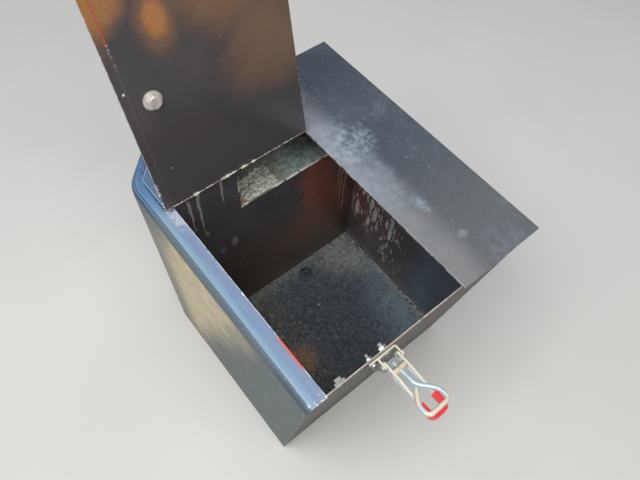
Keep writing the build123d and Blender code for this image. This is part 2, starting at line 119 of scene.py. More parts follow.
class Graph:
    """One material's nodes. Sizes are in metres, and colours as seen on a screen, from 0 to 255."""

    def __init__(self, name):
        self.material = bpy.data.materials.new(name)
        self.material.use_nodes = True
        self.tree = self.material.node_tree
        self.tree.nodes.clear()
        place = self.node("ShaderNodeTexCoord", {})
        self.point = Wire(self, place.outputs["Object"])
        self.x, self.y, self.z = self.split(self.point)
        self.nx, self.ny, self.nz = self.split(Wire(self, place.outputs["Normal"]))

    def node(self, kind, inputs, **settings):
        """A new node, with its inputs by name or number."""
        node = self.tree.nodes.new(kind)
        for key, value in settings.items():
            setattr(node, key, value)
        for key, value in inputs.items():
            if isinstance(value, Wire):
                self.tree.links.new(value.socket, node.inputs[key])
            else:
                node.inputs[key].default_value = value
        return node

    def wire(self, kind, inputs, output=0, **settings):
        return Wire(self, self.node(kind, inputs, **settings).outputs[output])

    def split(self, vector):
        return [Wire(self, part) for part in self.node("ShaderNodeSeparateXYZ", {0: vector}).outputs]

    def calc(self, operation, *values):
        return self.wire("ShaderNodeMath", dict(enumerate(values)), operation=operation)

    def most(self, a, *more):
        for b in more:
            a = self.calc("MAXIMUM", a, b)
        return a

    def band(self, value, low, high):
        """Runs smoothly from 0 at low to 1 at high, and low may be the larger."""
        limits = (low, high, 0, 1) if low < high else (high, low, 1, 0)
        inputs = dict(zip(("Value", "From Min", "From Max", "To Min", "To Max"), (value, *limits)))
        return self.wire("ShaderNodeMapRange", inputs, "Result", interpolation_type="SMOOTHSTEP")

    def between(self, value, low, high, soft):
        """1 from low to high, falling off over soft on both sides."""
        return self.band(value, low - soft, low) * self.band(value, high + soft, high)

    def mix(self, amount, a, b):
        """Colour a where amount is 0, and b where it is 1."""
        a, b = [tone if isinstance(tone, Wire) else (*map(linear, tone), 1) for tone in (a, b)]
        return self.wire("ShaderNodeMix", {0: amount, 6: a, 7: b}, 2, data_type="RGBA")

    def ramp(self, value, low, high, a, b):
        """Colour a where a value is at low, running to b where it is at high."""
        return self.mix(self.band(value, low, high), a, b)

    def level(self, amount, a, b):
        """Number a where amount is 0, and b where it is 1."""
        return self.wire("ShaderNodeMix", {0: amount, 2: a, 3: b}, data_type="FLOAT")

    def scaled(self, stretch=(1, 1, 1), shift=(0, 0, 0), point=None, turn=(0, 0, 0)):
        inputs = {"Vector": point or self.point, "Scale": stretch, "Location": shift, "Rotation": turn}
        return self.wire("ShaderNodeMapping", inputs)

    def noise(self, size, detail=2, rough=0.5, stretch=(1, 1, 1), shift=(0, 0, 0), point=None):
        """Cloudy noise from 0 to 1 whose patches are about size across."""
        place = self.scaled(stretch, shift, point)
        inputs = {"Vector": place, "Scale": 1 / size, "Detail": detail, "Roughness": rough}
        return self.wire("ShaderNodeTexNoise", inputs, "Fac")

    def cells(self, scale, stretch=(1, 1, 1), shift=(0, 0, 0)):
        """Voronoi cells: the distance from their middles, and two random values for each cell."""
        node = self.node("ShaderNodeTexVoronoi", {"Vector": self.scaled(stretch, shift), "Scale": scale})
        chance, tint, _ = self.split(Wire(self, node.outputs["Color"]))
        return Wire(self, node.outputs["Distance"]), chance, tint

    def pebbles(self, size, shift=(0, 0, 0)):
        """Cells about size across: the distance in metres, and a random value for each."""
        distance, chance, _ = self.cells(1 / size, shift=shift)
        return distance * size, chance

    def spot(self, place, radius, ragged=0.0, stretch=(1, 1, 1)):
        """A soft round patch about a place, with a ragged edge."""
        middle = tuple(p * s for p, s in zip(place, stretch))
        inputs = {0: self.scaled(stretch), 1: middle}
        away = self.wire("ShaderNodeVectorMath", inputs, "Value", operation="DISTANCE")
        if ragged:
            away = away + (self.noise(radius * 0.35, 4, 0.6) - 0.5) * ragged
        return self.band(away, radius, radius * 0.35)

    def specks(self, spacing, radius, share, shift=(0, 0, 0)):
        """Small uneven dots, the largest of a radius, in about a share of the cells."""
        distance, chance = self.pebbles(spacing, shift)
        reach = self.band(chance, 1 - share, 1) * radius
        wobble = (self.noise(radius * 1.6, 3, 0.6) - 0.5) * (radius * 1.3)
        return self.band(distance + wobble - reach, radius * 0.2, -radius * 0.2)

    def two_specks(self, first, second, shift):
        """Dots of two sizes together, each given as for specks, the second ones shifted."""
        return self.most(self.specks(*first), self.specks(*second, shift=shift))

    def scratches(self, length, width, share, turn=0.0, shift=(0, 0, 0), upright=False):
        """Fine straight marks along one direction: in plan, or across an upright face."""
        along = self.scaled(turn=(0, turn, 0) if upright else (0, 0, turn))
        thin = (1 / length, 1 / width, 1 / width)
        streak = self.noise(1, stretch=thin, shift=shift, point=along)
        where = self.band(self.noise(length * 0.8, shift=shift), 0.5, 0.62)
        return self.band(streak, 1 - share, 1.02 - share * 0.8) * where

    def drip(self, across, down, place, top, length, width):
        """A run of dried dirt that starts at a place along an edge and ends in a thin tail."""
        wander = (self.noise(0.025, shift=(place, 0, 0)) - 0.5) * (width * 3)
        off = abs(across + wander - place)
        tail = self.band(down, top + length, top + length * 0.2)
        edge = self.level(tail, width * 0.3, width)
        body = self.band(self.calc("DIVIDE", off, edge), 1.15, 0.6)
        broken = self.band(self.noise(0.006, shift=(0, 0, place)), 0.28, 0.45)
        started = self.band(down, top - 0.004, top)
        return body * broken * (started * self.band(down, top + length, top + length * 0.85))

    def finish(self, colour, rough, height, depth, strength, metal=0.0, specular=0.5, coat=0.0,
               coat_rough=0.1):
        """Ends the material in one shader. Height is 0 to 1 and stands for depth in metres."""
        bump = {"Height": height, "Distance": depth, "Strength": strength}
        shader = {"Base Color": colour, "Roughness": rough, "Metallic": metal,
                  "Specular IOR Level": specular, "Coat Weight": coat, "Coat Roughness": coat_rough,
                  "Normal": self.wire("ShaderNodeBump", bump, "Normal")}
        self.node("ShaderNodeOutputMaterial", {"Surface": self.wire("ShaderNodeBsdfPrincipled", shader)})
        return self.material


# In the materials, a place is in metres from a named edge and an amount is a share from 0 to 1. The
# colours and the limits given for a noise were chosen against the photo.

BLUE_HIGHLIGHT = (136, 166, 188)


def skin_flange(g, corner, cloud):
    """The rim's flat top: blue as a painted reflection of the sky on the dark paint, brushed, with painted
    highlights by the bend and painted shade round the far corner, and dusty beside the hinge. Also gives
    where the dust lies.
    """
    brushed = g.noise(0.012, 3, 0.6, stretch=(0.12, 1, 1))
    # Painted reflection: the flange's blue stands for the sky mirrored in its dark paint.
    flange = g.ramp(cloud, 0.35, 0.65, (120, 143, 170), (112, 134, 164))
    # Painted highlight: lighter blue towards the bend, brightest in a line along the flange's outer edge.
    flange.lay(g.band(g.y, OUTSIDE + 0.013, OUTSIDE + 0.026), (124, 140, 168))
    flange.lay(g.band(g.y, OUTSIDE + 0.015, OUTSIDE + 0.0115) * 0.6, BLUE_HIGHLIGHT)
    flange.lay(g.band(brushed, 0.5, 0.7) * 0.35, BLUE_HIGHLIGHT)
    flange.lay(g.band(brushed, 0.48, 0.3) * 0.3, (104, 122, 156))
    # Painted shade: a darker blue round the far corner.
    flange.lay(corner * 0.85, g.ramp(brushed, 0.4, 0.6, (66, 100, 140), (92, 134, 172)))
    by_hinge = g.band(g.x, HINGE + 0.052, HINGE + 0.008) * g.band(g.y, OUTSIDE + 0.012, OUTSIDE + 0.019)
    by_hinge = by_hinge * g.band(g.x, HINGE - 0.008, HINGE + 0.001)
    worn = g.band(g.noise(0.0045, 5, 0.72) + cloud * 0.25, 0.5, 0.74)
    dusty = by_hinge * worn
    flange.lay(by_hinge * (1 - worn) * 0.4, (118, 124, 152))
    flange.lay(dusty * 0.85, (196, 200, 214))
    return flange, dusty


def skin_bend(g, corner):
    """The bend: painted shade on its curve, with painted highlights along its top and near its foot and
    painted glints round the far corner, and crossed near its top by the press tool's parallel marks.
    """
    around = 1 - g.calc("SQRT", g.most(1 - g.nz * g.nz, 0)) + g.nz * 0.25
    wave = g.calc("SINE", around * 26)
    away_from_end = g.band(g.x, NEAR - 0.02, NEAR - 0.1)
    broken = g.band(g.noise(0.05, stretch=(0.25, 1, 1)), 0.25, 0.55)
    marked = g.between(around, 0.32, 0.98, 0.05) * broken * away_from_end
    marks = g.band(wave, 0.1, 0.8) * marked
    # Painted shade: the bend darker where it turns down.
    bend = g.ramp(around, 0.2, 0.55, (66, 80, 94), (88, 104, 118))
    # Painted highlight along the top of the bend.
    bend.lay(g.band(around, 0.92, 1.02), BLUE_HIGHLIGHT)
    bend.lay(marks * 0.9, (40, 54, 64))
    bend.lay(g.band(wave, -0.2, -0.8) * marked * 0.75, (146, 160, 164))
    # Painted highlight: a light line near the foot of the bend.
    bend.lay(g.between(around, 0.2, 0.24, 0.03) * away_from_end * 0.6, (150, 160, 160))
    # Painted shade round the far corner, with painted glint lines along the bend there.
    bend.lay(corner * 0.85, g.ramp(around, 0.15, 0.9, (44, 70, 90), (70, 106, 142)))
    glint = g.most(g.between(around, 0.52, 0.56, 0.03), g.between(around, 0.94, 1, 0.03))
    bend.lay(corner * glint * 0.7, (132, 172, 204))
    return bend, marks


def skin_wall(g, corner):
    """The wall with a painted reflection of lit ground at the far end: a tan veil that dies out towards the
    latch.
    """
    slope = g.x - (g.z - (RIM - 0.017)) * 0.495
    slope = slope + (g.noise(0.05, 3, 0.55, stretch=(1, 1, 1.6)) - 0.5) * 0.1
    # Painted reflection: the tan veil stands for lit ground mirrored in the wall's gloss.
    tan = g.band(slope, HINGE + 0.235, HINGE + 0.135) * g.band(g.z, RIM - 0.008, RIM - 0.02)
    far_top = g.band(g.x, HINGE + 0.05, HINGE) * g.band(g.z, RIM - 0.12, RIM - 0.02)
    tan = tan * (1 - far_top * 0.65)
    smear = g.noise(0.018, 4, 0.65, stretch=(0.9, 1, 1))
    mottle = g.noise(0.007, 3, 0.6)
    wall = g.ramp(smear, 0.35, 0.7, (92, 106, 108), (106, 118, 116))
    reflected_ground = g.ramp(smear, 0.32, 0.66, (206, 192, 156), (230, 212, 174))
    wall.lay(tan * g.level(g.band(mottle, 0.35, 0.65), 0.8, 1), reflected_ground)
    # Painted shade: a dark band along the top of the wall, under the bend.
    wall.lay(g.band(g.z, RIM - 0.018, RIM - 0.008) * 0.6, (60, 80, 92))
    # Painted shade: the wall darker round the far corner.
    wall.lay(corner * 0.6, (64, 88, 104))
    blown = g.band(g.z, GROUND + 0.14, GROUND - 0.02) * g.band(g.noise(0.012, 4, 0.65), 0.4, 0.62)
    wall.lay(blown * 0.7, (128, 120, 102))
    spatter = g.specks(0.011, 0.0018, 0.35)
    wall.lay(spatter * g.band(g.z, RIM - 0.05, GROUND + 0.05) * 0.6, (150, 144, 124))
    return wall


def skin_cuts(g, colour, side, fine):
    """Bare cut edges, with red primer along the opening where the paint is rubbed through."""
    upper = g.band(g.z, RIM - 0.0034, RIM - 0.003)
    edge = g.band(g.y, OPENING_OUT - 0.0013, OPENING_OUT - 0.0006) * upper
    edge = edge * g.band(g.x, HINGE - 0.001, HINGE + 0.002) * g.band(g.noise(0.012, 3, 0.6), 0.42, 0.54)
    colour.lay(edge * 0.75, (206, 212, 224))
    chip = g.spot((HINGE + 0.15, OPENING_OUT, RIM), 0.0022, ragged=0.001, stretch=(0.6, 1, 1))
    colour.lay(chip, (236, 240, 240))
    red = g.between(g.x, NEAR - 0.078, NEAR - 0.042, 0.01) * upper
    colour.lay(red * g.band(g.y, OPENING_OUT - 0.0026, OPENING_OUT - 0.0014), (226, 84, 70))
    colour.lay(g.band(g.nx, 0.8, 0.95), g.ramp(fine, 0.4, 0.6, (112, 88, 76), (164, 156, 148)))
    by_end = g.band(abs(g.x - (NEAR + SHEET)), 0.012, 0.001)
    chips = by_end * g.band(g.noise(0.005, 4, 0.6), 0.55, 0.6)
    colour.lay(chips * (1 - side), (212, 204, 200))


def skin_paint():
    g = Graph("skin_paint")
    cloud = g.noise(0.075, 3, 0.55)
    fine = g.noise(0.004, 4, 0.6)
    side = g.band(g.nz, 0.09, 0.02)
    corner = g.band(g.x, HINGE + 0.022, HINGE - 0.035)
    flange, dusty = skin_flange(g, corner, cloud)
    bend, marks = skin_bend(g, corner)
    colour = g.mix(side, g.ramp(g.nz, 0.945, 0.99, bend, flange), skin_wall(g, corner))
    hidden = g.most(g.band(g.ny, 0.2, 0.8), g.band(g.nz, -0.3, -0.8))
    colour.lay(hidden * g.band(g.z, RIM - 0.0025, RIM - 0.0029), (54, 52, 54))
    skin_cuts(g, colour, side, fine)
    colour.lay(g.specks(0.014, 0.0009, 0.35) * (1 - side) * 0.7, (206, 212, 220))
    colour.lay(g.scratches(0.05, 0.0006, 0.36, turn=0.12) * (1 - side) * 0.3, (186, 200, 216))
    rough = g.level(side, 0.24, 0.52) + dusty * 0.4 + g.band(fine, 0.3, 0.8) * 0.12
    height = marks * -0.4 + fine * 0.12 + cloud * 0.5
    return g.finish(colour, rough, height, depth=0.0005, strength=0.5, specular=0.4)


def end_paint():
    """Near end plate: dark inside, grey-brown outside, bare along the inner corner of the cut top."""
    g = Graph("end_paint")
    fine = g.noise(0.003, 4, 0.65)
    cloud = g.noise(0.05, 3, 0.6)
    outside = g.band(g.nx, 0.3, 0.8)
    inner = g.ramp(cloud, 0.35, 0.7, (58, 57, 58), (74, 75, 78))
    dust = g.band(fine, 0.55, 0.75) * g.band(g.z, RIM - 0.25, RIM - 0.36)
    inner.lay(dust * 0.6, (118, 114, 104))
    outer = g.ramp(cloud, 0.3, 0.7, (74, 70, 62), (58, 55, 50))
    outer.lay(g.band(fine, 0.5, 0.7) * 0.35, (108, 104, 92))
    spatter = g.two_specks((0.012, 0.0035, 0.4), (0.006, 0.0016, 0.4), (5, 1, 2))
    outer.lay(spatter * g.band(g.z, GROUND + 0.26, GROUND) * 0.8, (140, 130, 108))
    outer.lay(g.scratches(0.03, 0.0008, 0.36, turn=0.3, upright=True) * 0.4, (134, 132, 126))
    colour = g.mix(outside, inner, outer)
    top = g.band(g.nz, 0.8, 0.95)
    worn = g.noise(0.014, 4, 0.6)
    bare = g.ramp(worn, 0.4, 0.6, (170, 160, 148), (208, 200, 190))
    bare.lay(g.band(worn, 0.58, 0.7), (176, 122, 96))
    past_skin = g.band(g.y, OPENING_OUT + 0.03, OPENING_OUT + 0.06)
    by_latch = past_skin * g.band(g.y, OPENING_IN - 0.04, OPENING_IN - 0.09)
    bare.lay(by_latch * g.band(worn, 0.42, 0.56) * 0.6, (198, 160, 144))
    half = g.band(g.x, NEAR + 0.002, NEAR + 0.0013)
    bare = g.mix(half, g.ramp(fine, 0.4, 0.6, (74, 70, 62), (92, 88, 80)), bare)
    colour.lay(top, bare)
    rough = g.level(top, g.level(outside, 0.36, 0.5), 0.42)
    return g.finish(colour, rough, fine + cloud, depth=0.0005, strength=0.5, metal=top * half * 0.5)


# Runs of dirt on the hinge wall: distance from a corner, start below the rim, length and width
RUNS_BY_SKIN = ((0.020, 0.006, 0.075, 0.0022), (0.034, 0.002, 0.100, 0.0024), (0.069, 0.001, 0.052, 0.0022),
                (0.097, 0.010, 0.040, 0.0010), (0.103, 0.020, 0.035, 0.0010))
RUNS_BY_INNER_WALL = ((0.033, 0.085, 0.17, 0.0020), (0.024, 0.110, 0.18, 0.0015),
                      (0.040, 0.120, 0.09, 0.0014))


def hinge_wall_dirt(g, colour, down):
    """Runs of dried dirt, some with blots at their ends, and two smears. Gives the runs and blots."""
    def blot(along, below, radius, ragged, stretch):
        return g.spot((HINGE, OPENING_OUT + along, RIM - below), radius, ragged=ragged, stretch=stretch)

    runs = g.most(*[g.drip(g.y, down, OPENING_OUT + place, *size) for place, *size in RUNS_BY_SKIN])
    blots = g.most(blot(0.0215, 0.072, 0.004, 0.004, (1, 1.3, 0.6)),
                   blot(0.037, 0.098, 0.005, 0.005, (1, 1.4, 0.5)))
    colour.lay(runs * 0.8, (176, 168, 158))
    colour.lay(blots * 0.55, (168, 158, 148))
    pale = g.most(*[g.drip(g.y, down, BACK - place, *size) for place, *size in RUNS_BY_INNER_WALL])
    colour.lay(pale * 0.95, (240, 214, 198))
    smears = g.most(blot(0.078, 0.16, 0.013, 0.01, (1, 1.6, 0.7)),
                    blot(0.056, 0.165, 0.012, 0.014, (1, 1.6, 1)) * 0.6)
    colour.lay(smears * 0.75, (146, 140, 134))
    return runs, blots


def hinge_wall_cuts(g, colour, edge):
    """Cut edges: along the top, and round the notch."""
    chip = g.noise(0.009, 4, 0.6)
    bare = g.ramp(chip, 0.36, 0.56, (116, 110, 98), (204, 200, 190))
    bright = g.between(g.y, OPENING_OUT + 0.158, OPENING_OUT + 0.206, 0.008)
    bare.lay(bright * g.band(chip, 0.34, 0.5), (240, 242, 240))
    dull = g.between(g.y, OPENING_OUT + 0.112, OPENING_OUT + 0.15, 0.008)
    bare.lay(dull * 0.7, (96, 96, 92))
    bare.lay(g.spot((HINGE, NOTCH + 0.06, LEDGE_TOP), 0.01, ragged=0.01) * 0.6, (180, 132, 96))
    colour.lay(edge, bare)
    lip = g.band(abs(g.z - LEDGE_TOP), 0.0018, 0.0006) * g.band(g.y, NOTCH, NOTCH + 0.001)
    colour.lay(lip * g.band(chip, 0.42, 0.5) * (1 - dull), (228, 228, 222))
    high = g.between(g.z, LEDGE_TOP + 0.04, LEDGE_TOP + 0.062, 0.004)
    upright = g.band(abs(g.y - NOTCH), 0.0026, 0.0008) * high
    colour.lay(upright * g.band(chip, 0.4, 0.48), (216, 212, 204))


def hinge_wall_paint():
    g = Graph("hinge_wall_paint")
    cloud = g.noise(0.06, 3, 0.55)
    fine = g.noise(0.003, 4, 0.65)
    down = RIM - g.z
    colour = g.ramp(cloud, 0.35, 0.7, (78, 74, 77), (90, 87, 90))
    low = g.ramp(g.y, OPENING_OUT + 0.06, OPENING_IN, (78, 64, 49), (108, 88, 74))
    colour.lay(g.band(down, 0.11, 0.26) * 0.9, low)
    # Painted reflection: the reddish patch low by the inner wall stands for the orange machine mirrored in
    # the paint.
    wobbly = g.y + (g.noise(0.07, 3, 0.6) - 0.5) * 0.08
    red = g.between(wobbly, BACK - 0.102, BACK - 0.01, 0.036) * g.band(down, 0.34, 0.16)
    colour.lay(red * g.band(cloud, 0.1, 0.45), (156, 90, 78))
    colour.lay(red * g.band(cloud, 0.48, 0.72) * 0.6, (150, 112, 86))
    colour.lay(g.band(g.y, BACK - 0.03, BACK - 0.006) * 0.5, (84, 62, 54))
    damp = g.band(down, 0.345, 0.377) * g.band(fine, 0.38, 0.62)
    colour.lay(damp * 0.6, (132, 128, 108))
    runs, blots = hinge_wall_dirt(g, colour, down)
    nicks = g.scratches(0.016, 0.0009, 0.42, turn=0.8, upright=True) * red
    colour.lay(nicks * 0.6, (204, 186, 176))
    colour.lay(g.two_specks((0.012, 0.0013, 0.4), (0.03, 0.003, 0.3), (2, 3, 4)) * 0.6, (158, 154, 150))
    edge = g.most(g.band(g.nz, 0.8, 0.95), g.band(abs(g.ny), 0.8, 0.95))
    hinge_wall_cuts(g, colour, edge)
    rough = 0.26 + g.most(runs, damp, edge) * 0.45 + fine * 0.1
    height = g.most(runs, blots) * 0.8 + fine * 0.15 + cloud * 0.4
    return g.finish(colour, rough, height, depth=0.0008, strength=0.6)


def splashes(g, torn, width, tall, share, shift):
    """Torn patches in upright cells: where they are, and a random value for each."""
    distance, chance, tint = g.cells(1, (1 / width, 1, 1 / tall), shift)
    reach = g.band(chance, 1 - share, 1) * 0.48
    return g.band(distance + torn - reach, 0.05, -0.05), tint


def inner_wall_paint():
    g = Graph("inner_wall_paint")
    cloud = g.noise(0.07, 3, 0.55)
    fine = g.noise(0.0035, 4, 0.65)
    down = RIM - g.z
    colour = g.ramp(cloud, 0.3, 0.7, (90, 82, 83), (106, 98, 100))
    bluish = g.ramp(cloud, 0.3, 0.7, (94, 104, 116), (108, 120, 134))
    colour.lay(g.band(g.x, HINGE + 0.12, HINGE + 0.21), bluish)
    # Painted reflection: the reddish patch low by the hinge wall stands for the orange machine mirrored in
    # the paint.
    red = g.band(g.x, HINGE + 0.1, HINGE + 0.01) * g.band(down, 0.33, 0.22)
    colour.lay(red * g.band(cloud, 0.2, 0.6) * 0.8, (142, 90, 78))

    # Splashes of dried dirt, longer than wide, in a slanting band below the shelf's edge
    below = down - (0.24 + (g.x - HINGE) * 0.55)
    place = g.band(below, 0.065, 0.02) * g.band(below, -0.26, -0.2)
    place = place * g.band(g.x, HINGE + 0.165, HINGE + 0.1) * g.band(g.x, HINGE + 0.001, HINGE + 0.01)
    torn = (g.noise(0.006, 3, 0.6) - 0.5) * 0.5
    large, large_tint = splashes(g, torn, 0.011, 0.048, 0.95, (0.3, 0, 0.2))
    small, small_tint = splashes(g, torn, 0.0046, 0.017, 0.9, (3.1, 0, 1.7))
    colour.lay(large * place * 0.95, g.ramp(large_tint, 0.3, 0.7, (176, 198, 198), (214, 212, 204)))
    colour.lay(small * place * 0.9, g.ramp(small_tint, 0.3, 0.7, (210, 208, 202), (206, 178, 166)))
    marks = g.most(large, small) * place

    grit = g.band(down, 0.352, 0.379) * g.band(g.noise(0.005, 3, 0.6), 0.45, 0.58)
    colour.lay(grit * 0.7, (160, 158, 146))
    colour.lay(g.two_specks((0.013, 0.0012, 0.45), (0.034, 0.0028, 0.3), (4, 1, 2)) * 0.6, (170, 174, 180))
    outside = g.band(g.ny, 0.3, 0.8)
    back = g.ramp(g.noise(0.05, 4, 0.6), 0.35, 0.7, (76, 92, 112), (100, 102, 98))
    back.lay(g.band(fine, 0.5, 0.7) * 0.5, (134, 128, 114))
    colour.lay(outside, back)
    rough = 0.3 + g.most(marks, grit, outside) * 0.35 + fine * 0.1
    height = g.most(marks, grit) * 0.7 + fine * 0.15 + cloud * 0.4
    return g.finish(colour, rough, height, depth=0.0007, strength=0.6)


def floor_tones(g, cloud, crumbs):
    """The floor's colours before its pebbles: painted light by the inner wall, with dirt settled in the
    corner.
    """
    colour = g.ramp(cloud, 0.3, 0.7, (94, 104, 114), (106, 116, 124))
    # Painted light: the floor paler by the inner wall, where light comes in.
    right = g.band(g.x, HINGE + 0.08, HINGE + 0.18) * g.band(g.y, BACK - 0.11, BACK - 0.02)
    colour.lay(right * 0.85, (142, 164, 174))
    colour.lay(g.band(g.y, BACK - 0.06, BACK - 0.004) * 0.6, (124, 140, 150))
    corner = g.spot((HINGE + 0.018, BACK - 0.022, FLOOR_TOP), 0.1, ragged=0.05)
    by_hinge = g.band(g.x, HINGE + 0.034, HINGE + 0.004) * 0.8
    by_wall = g.most(by_hinge, g.band(g.y, BACK - 0.016, BACK - 0.001))
    settled = g.most(corner, by_wall) * g.band(crumbs + cloud * 0.5, 0.42, 0.72)
    colour.lay(settled * 0.9, (164, 168, 162))
    rusty = g.spot((HINGE + 0.038, BACK - 0.028, FLOOR_TOP), 0.018, ragged=0.02)
    colour.lay(rusty * 0.25, (150, 122, 94))
    dark = g.spot((HINGE + 0.12, BACK - 0.125, FLOOR_TOP), 0.11, ragged=0.05, stretch=(0.8, 1, 1))
    colour.lay(dark * 0.5, (78, 88, 100))
    brown = g.band(g.y, OPENING_OUT + 0.17, OPENING_OUT + 0.06) * g.band(cloud, 0.2, 0.55)
    colour.lay(brown * 0.7, g.ramp(g.x, HINGE + 0.06, HINGE + 0.16, (132, 126, 120), (164, 156, 154)))
    warm = g.spot((HINGE + 0.158, OPENING_OUT + 0.086, FLOOR_TOP), 0.044, ragged=0.02)
    colour.lay(warm * 0.75, (224, 168, 128))
    return colour


def floor_paint():
    g = Graph("floor_paint")
    cloud = g.noise(0.05, 4, 0.6)
    crumbs = g.noise(0.0065, 4, 0.6)
    colour = floor_tones(g, cloud, crumbs)
    pebble, chance = g.pebbles(0.0072)
    outer_half = g.band(g.y, BACK - 0.09, BACK - 0.19)
    pebbly = g.band(pebble + (crumbs - 0.5) * 0.004, 0.0036, 0.0014) * g.band(chance, 0.2, 0.8)
    pebbly = pebbly * g.band(cloud, 0.3, 0.56) * g.level(outer_half, 0.45, 1)
    gaps = g.band(pebble, 0.0032, 0.0044) * g.band(cloud, 0.36, 0.6)
    colour.lay(gaps * 0.45, (60, 66, 74))
    blotch = g.band(g.noise(0.012, 5, 0.72), 0.5, 0.6) * g.level(outer_half, 0.35, 1)
    near_skin = g.band(g.y, OPENING_OUT + 0.16, OPENING_OUT + 0.08)
    colour.lay(blotch * 0.6, g.mix(near_skin, (136, 142, 148), (190, 184, 176)))
    colour.lay(pebbly * 0.4, g.mix(near_skin, (144, 150, 156), (180, 176, 168)))
    specks = g.two_specks((0.012, 0.0014, 0.45), (0.04, 0.0032, 0.35), (1, 5, 2))
    colour.lay(specks * 0.7, (176, 182, 184))
    ring = g.spot(DRAIN, 0.024, ragged=0.006) - g.spot(DRAIN, 0.01, ragged=0.002)
    colour.lay(g.most(ring, 0) * 0.45, (70, 76, 84))
    colour.lay(g.band(abs(g.z - (FLOOR_TOP - SHEET / 2)), 0.0013, 0.0009), (60, 64, 70))
    rough = g.level(g.band(crumbs, 0.3, 0.7), 0.42, 0.85)
    height = g.band(crumbs, 0.35, 0.7) * 0.7 + g.most(pebbly, blotch) * 0.8 + specks * 0.6
    return g.finish(colour, rough, height, depth=0.0018, strength=0.9, specular=0.35)


def ledge_paint():
    g = Graph("ledge_paint")

    def patch(behind, along, radius, ragged, stretch=(1, 1, 1)):
        return g.spot((HINGE - behind, NOTCH + along, LEDGE_TOP), radius, ragged=ragged, stretch=stretch)

    cloud = g.noise(0.02, 4, 0.65)
    fine = g.noise(0.0024, 4, 0.65)
    lumps = g.noise(0.009, 4, 0.6)
    colour = g.ramp(cloud, 0.36, 0.66, (128, 124, 116), (150, 150, 140))
    colour.lay(g.band(fine, 0.5, 0.66) * 0.7, (188, 188, 176))
    teal = g.most(patch(0.022, 0.112, 0.042, 0.04), patch(0.028, 0.15, 0.034, 0.04))
    colour.lay(teal * 0.8, g.ramp(lumps, 0.4, 0.6, (128, 148, 142), (172, 192, 186)))
    olive = g.band(g.y, BACK - 0.09, BACK - 0.04)
    colour.lay(olive * 0.7, (144, 144, 126))
    white = patch(0.02, 0.037, 0.046, 0.03, (1.1, 1, 1))
    colour.lay(white * 0.95, g.ramp(lumps, 0.34, 0.6, (146, 146, 134), (230, 234, 226)))
    crack, _ = g.pebbles(0.01)
    colour.lay(white * g.band(crack, 0.005, 0.0066) * 0.25, (110, 108, 98))
    purple = patch(0.04, 0.01, 0.026, 0.02)
    colour.lay(purple * 0.6, (168, 156, 150))
    shade = g.most(patch(0.018, 0.002, 0.012, 0.01), patch(0.046, 0.03, 0.026, 0.03))
    colour.lay(shade * 0.6, (100, 92, 80))
    rust = patch(0.006, 0.01, 0.008, 0.01)
    colour.lay(rust * 0.8, (190, 136, 102))
    colour.lay(g.specks(0.01, 0.0016, 0.4) * 0.7, (210, 208, 196))
    rough = g.level(g.band(fine, 0.3, 0.7), 0.55, 0.9)
    height = g.band(lumps, 0.35, 0.7) * 0.8 + fine * 0.6
    return g.finish(colour, rough, height, depth=0.0016, strength=0.9, specular=0.3)


def shelf_top(g, cloud, wisps, fine):
    """The shelf from above: painted light along its edge, running to painted shade towards the hood side,
    and dusty by the hinge. Also gives the dust and specks.
    """
    def patch(x, across, radius, ragged, stretch=(1, 1, 1)):
        return g.spot((x, OPENING_IN + across, SHELF_HIGH.z), radius, ragged=ragged, stretch=stretch)

    # Painted light and shade: pale by the opening's edge, darker towards the hood side.
    in_from = g.y - OPENING_IN + (cloud - 0.5) * 0.03
    near_side = g.band(g.x, NEAR - 0.24, NEAR - 0.03)
    pale = g.mix(near_side, (132, 136, 147), (122, 123, 125))
    dark = g.mix(near_side, (62, 71, 83), (90, 93, 97))
    colour = g.ramp(in_from, 0.012, 0.06, pale, dark)
    colour.lay(g.band(cloud, 0.45, 0.7) * 0.2, (84, 94, 108))
    patches = g.most(patch(HINGE + 0.05, 0.028, 0.044, 0.05, (0.85, 1, 1)),
                     patch(HINGE + 0.054, 0.048, 0.034, 0.04) * 0.8,
                     patch(HINGE + 0.12, 0.018, 0.045, 0.05, (0.6, 1, 1)) * 0.4,
                     patch(HINGE + 0.186, 0.043, 0.013, 0.02, (0.6, 1.2, 1)) * 0.7)
    dusty = g.most(patches, g.band(cloud, 0.45, 0.75) * 0.2) * g.band(wisps, 0.36, 0.62)
    colour.lay(dusty * 0.75, (156, 176, 186))
    colour.lay(g.band(fine, 0.56, 0.72) * 0.35, (150, 156, 164))
    colour.lay(g.band(fine, 0.42, 0.3) * 0.35, (56, 62, 72))
    specks = g.two_specks((0.01, 0.0009, 0.5), (0.045, 0.0014, 0.35), (3, 2, 1))
    colour.lay(specks * 0.65, (190, 194, 198))
    scrapes = g.most(g.scratches(0.03, 0.0007, 0.36, turn=0.5),
                     g.scratches(0.04, 0.0006, 0.34, turn=-0.4, shift=(4, 4, 4)))
    colour.lay(scrapes * 0.25, (168, 176, 184))
    colour.lay(patch(NEAR - 0.05, 0.053, 0.008, 0.01, (1, 0.8, 1)) * 0.6, (136, 142, 148))
    return colour, dusty, specks


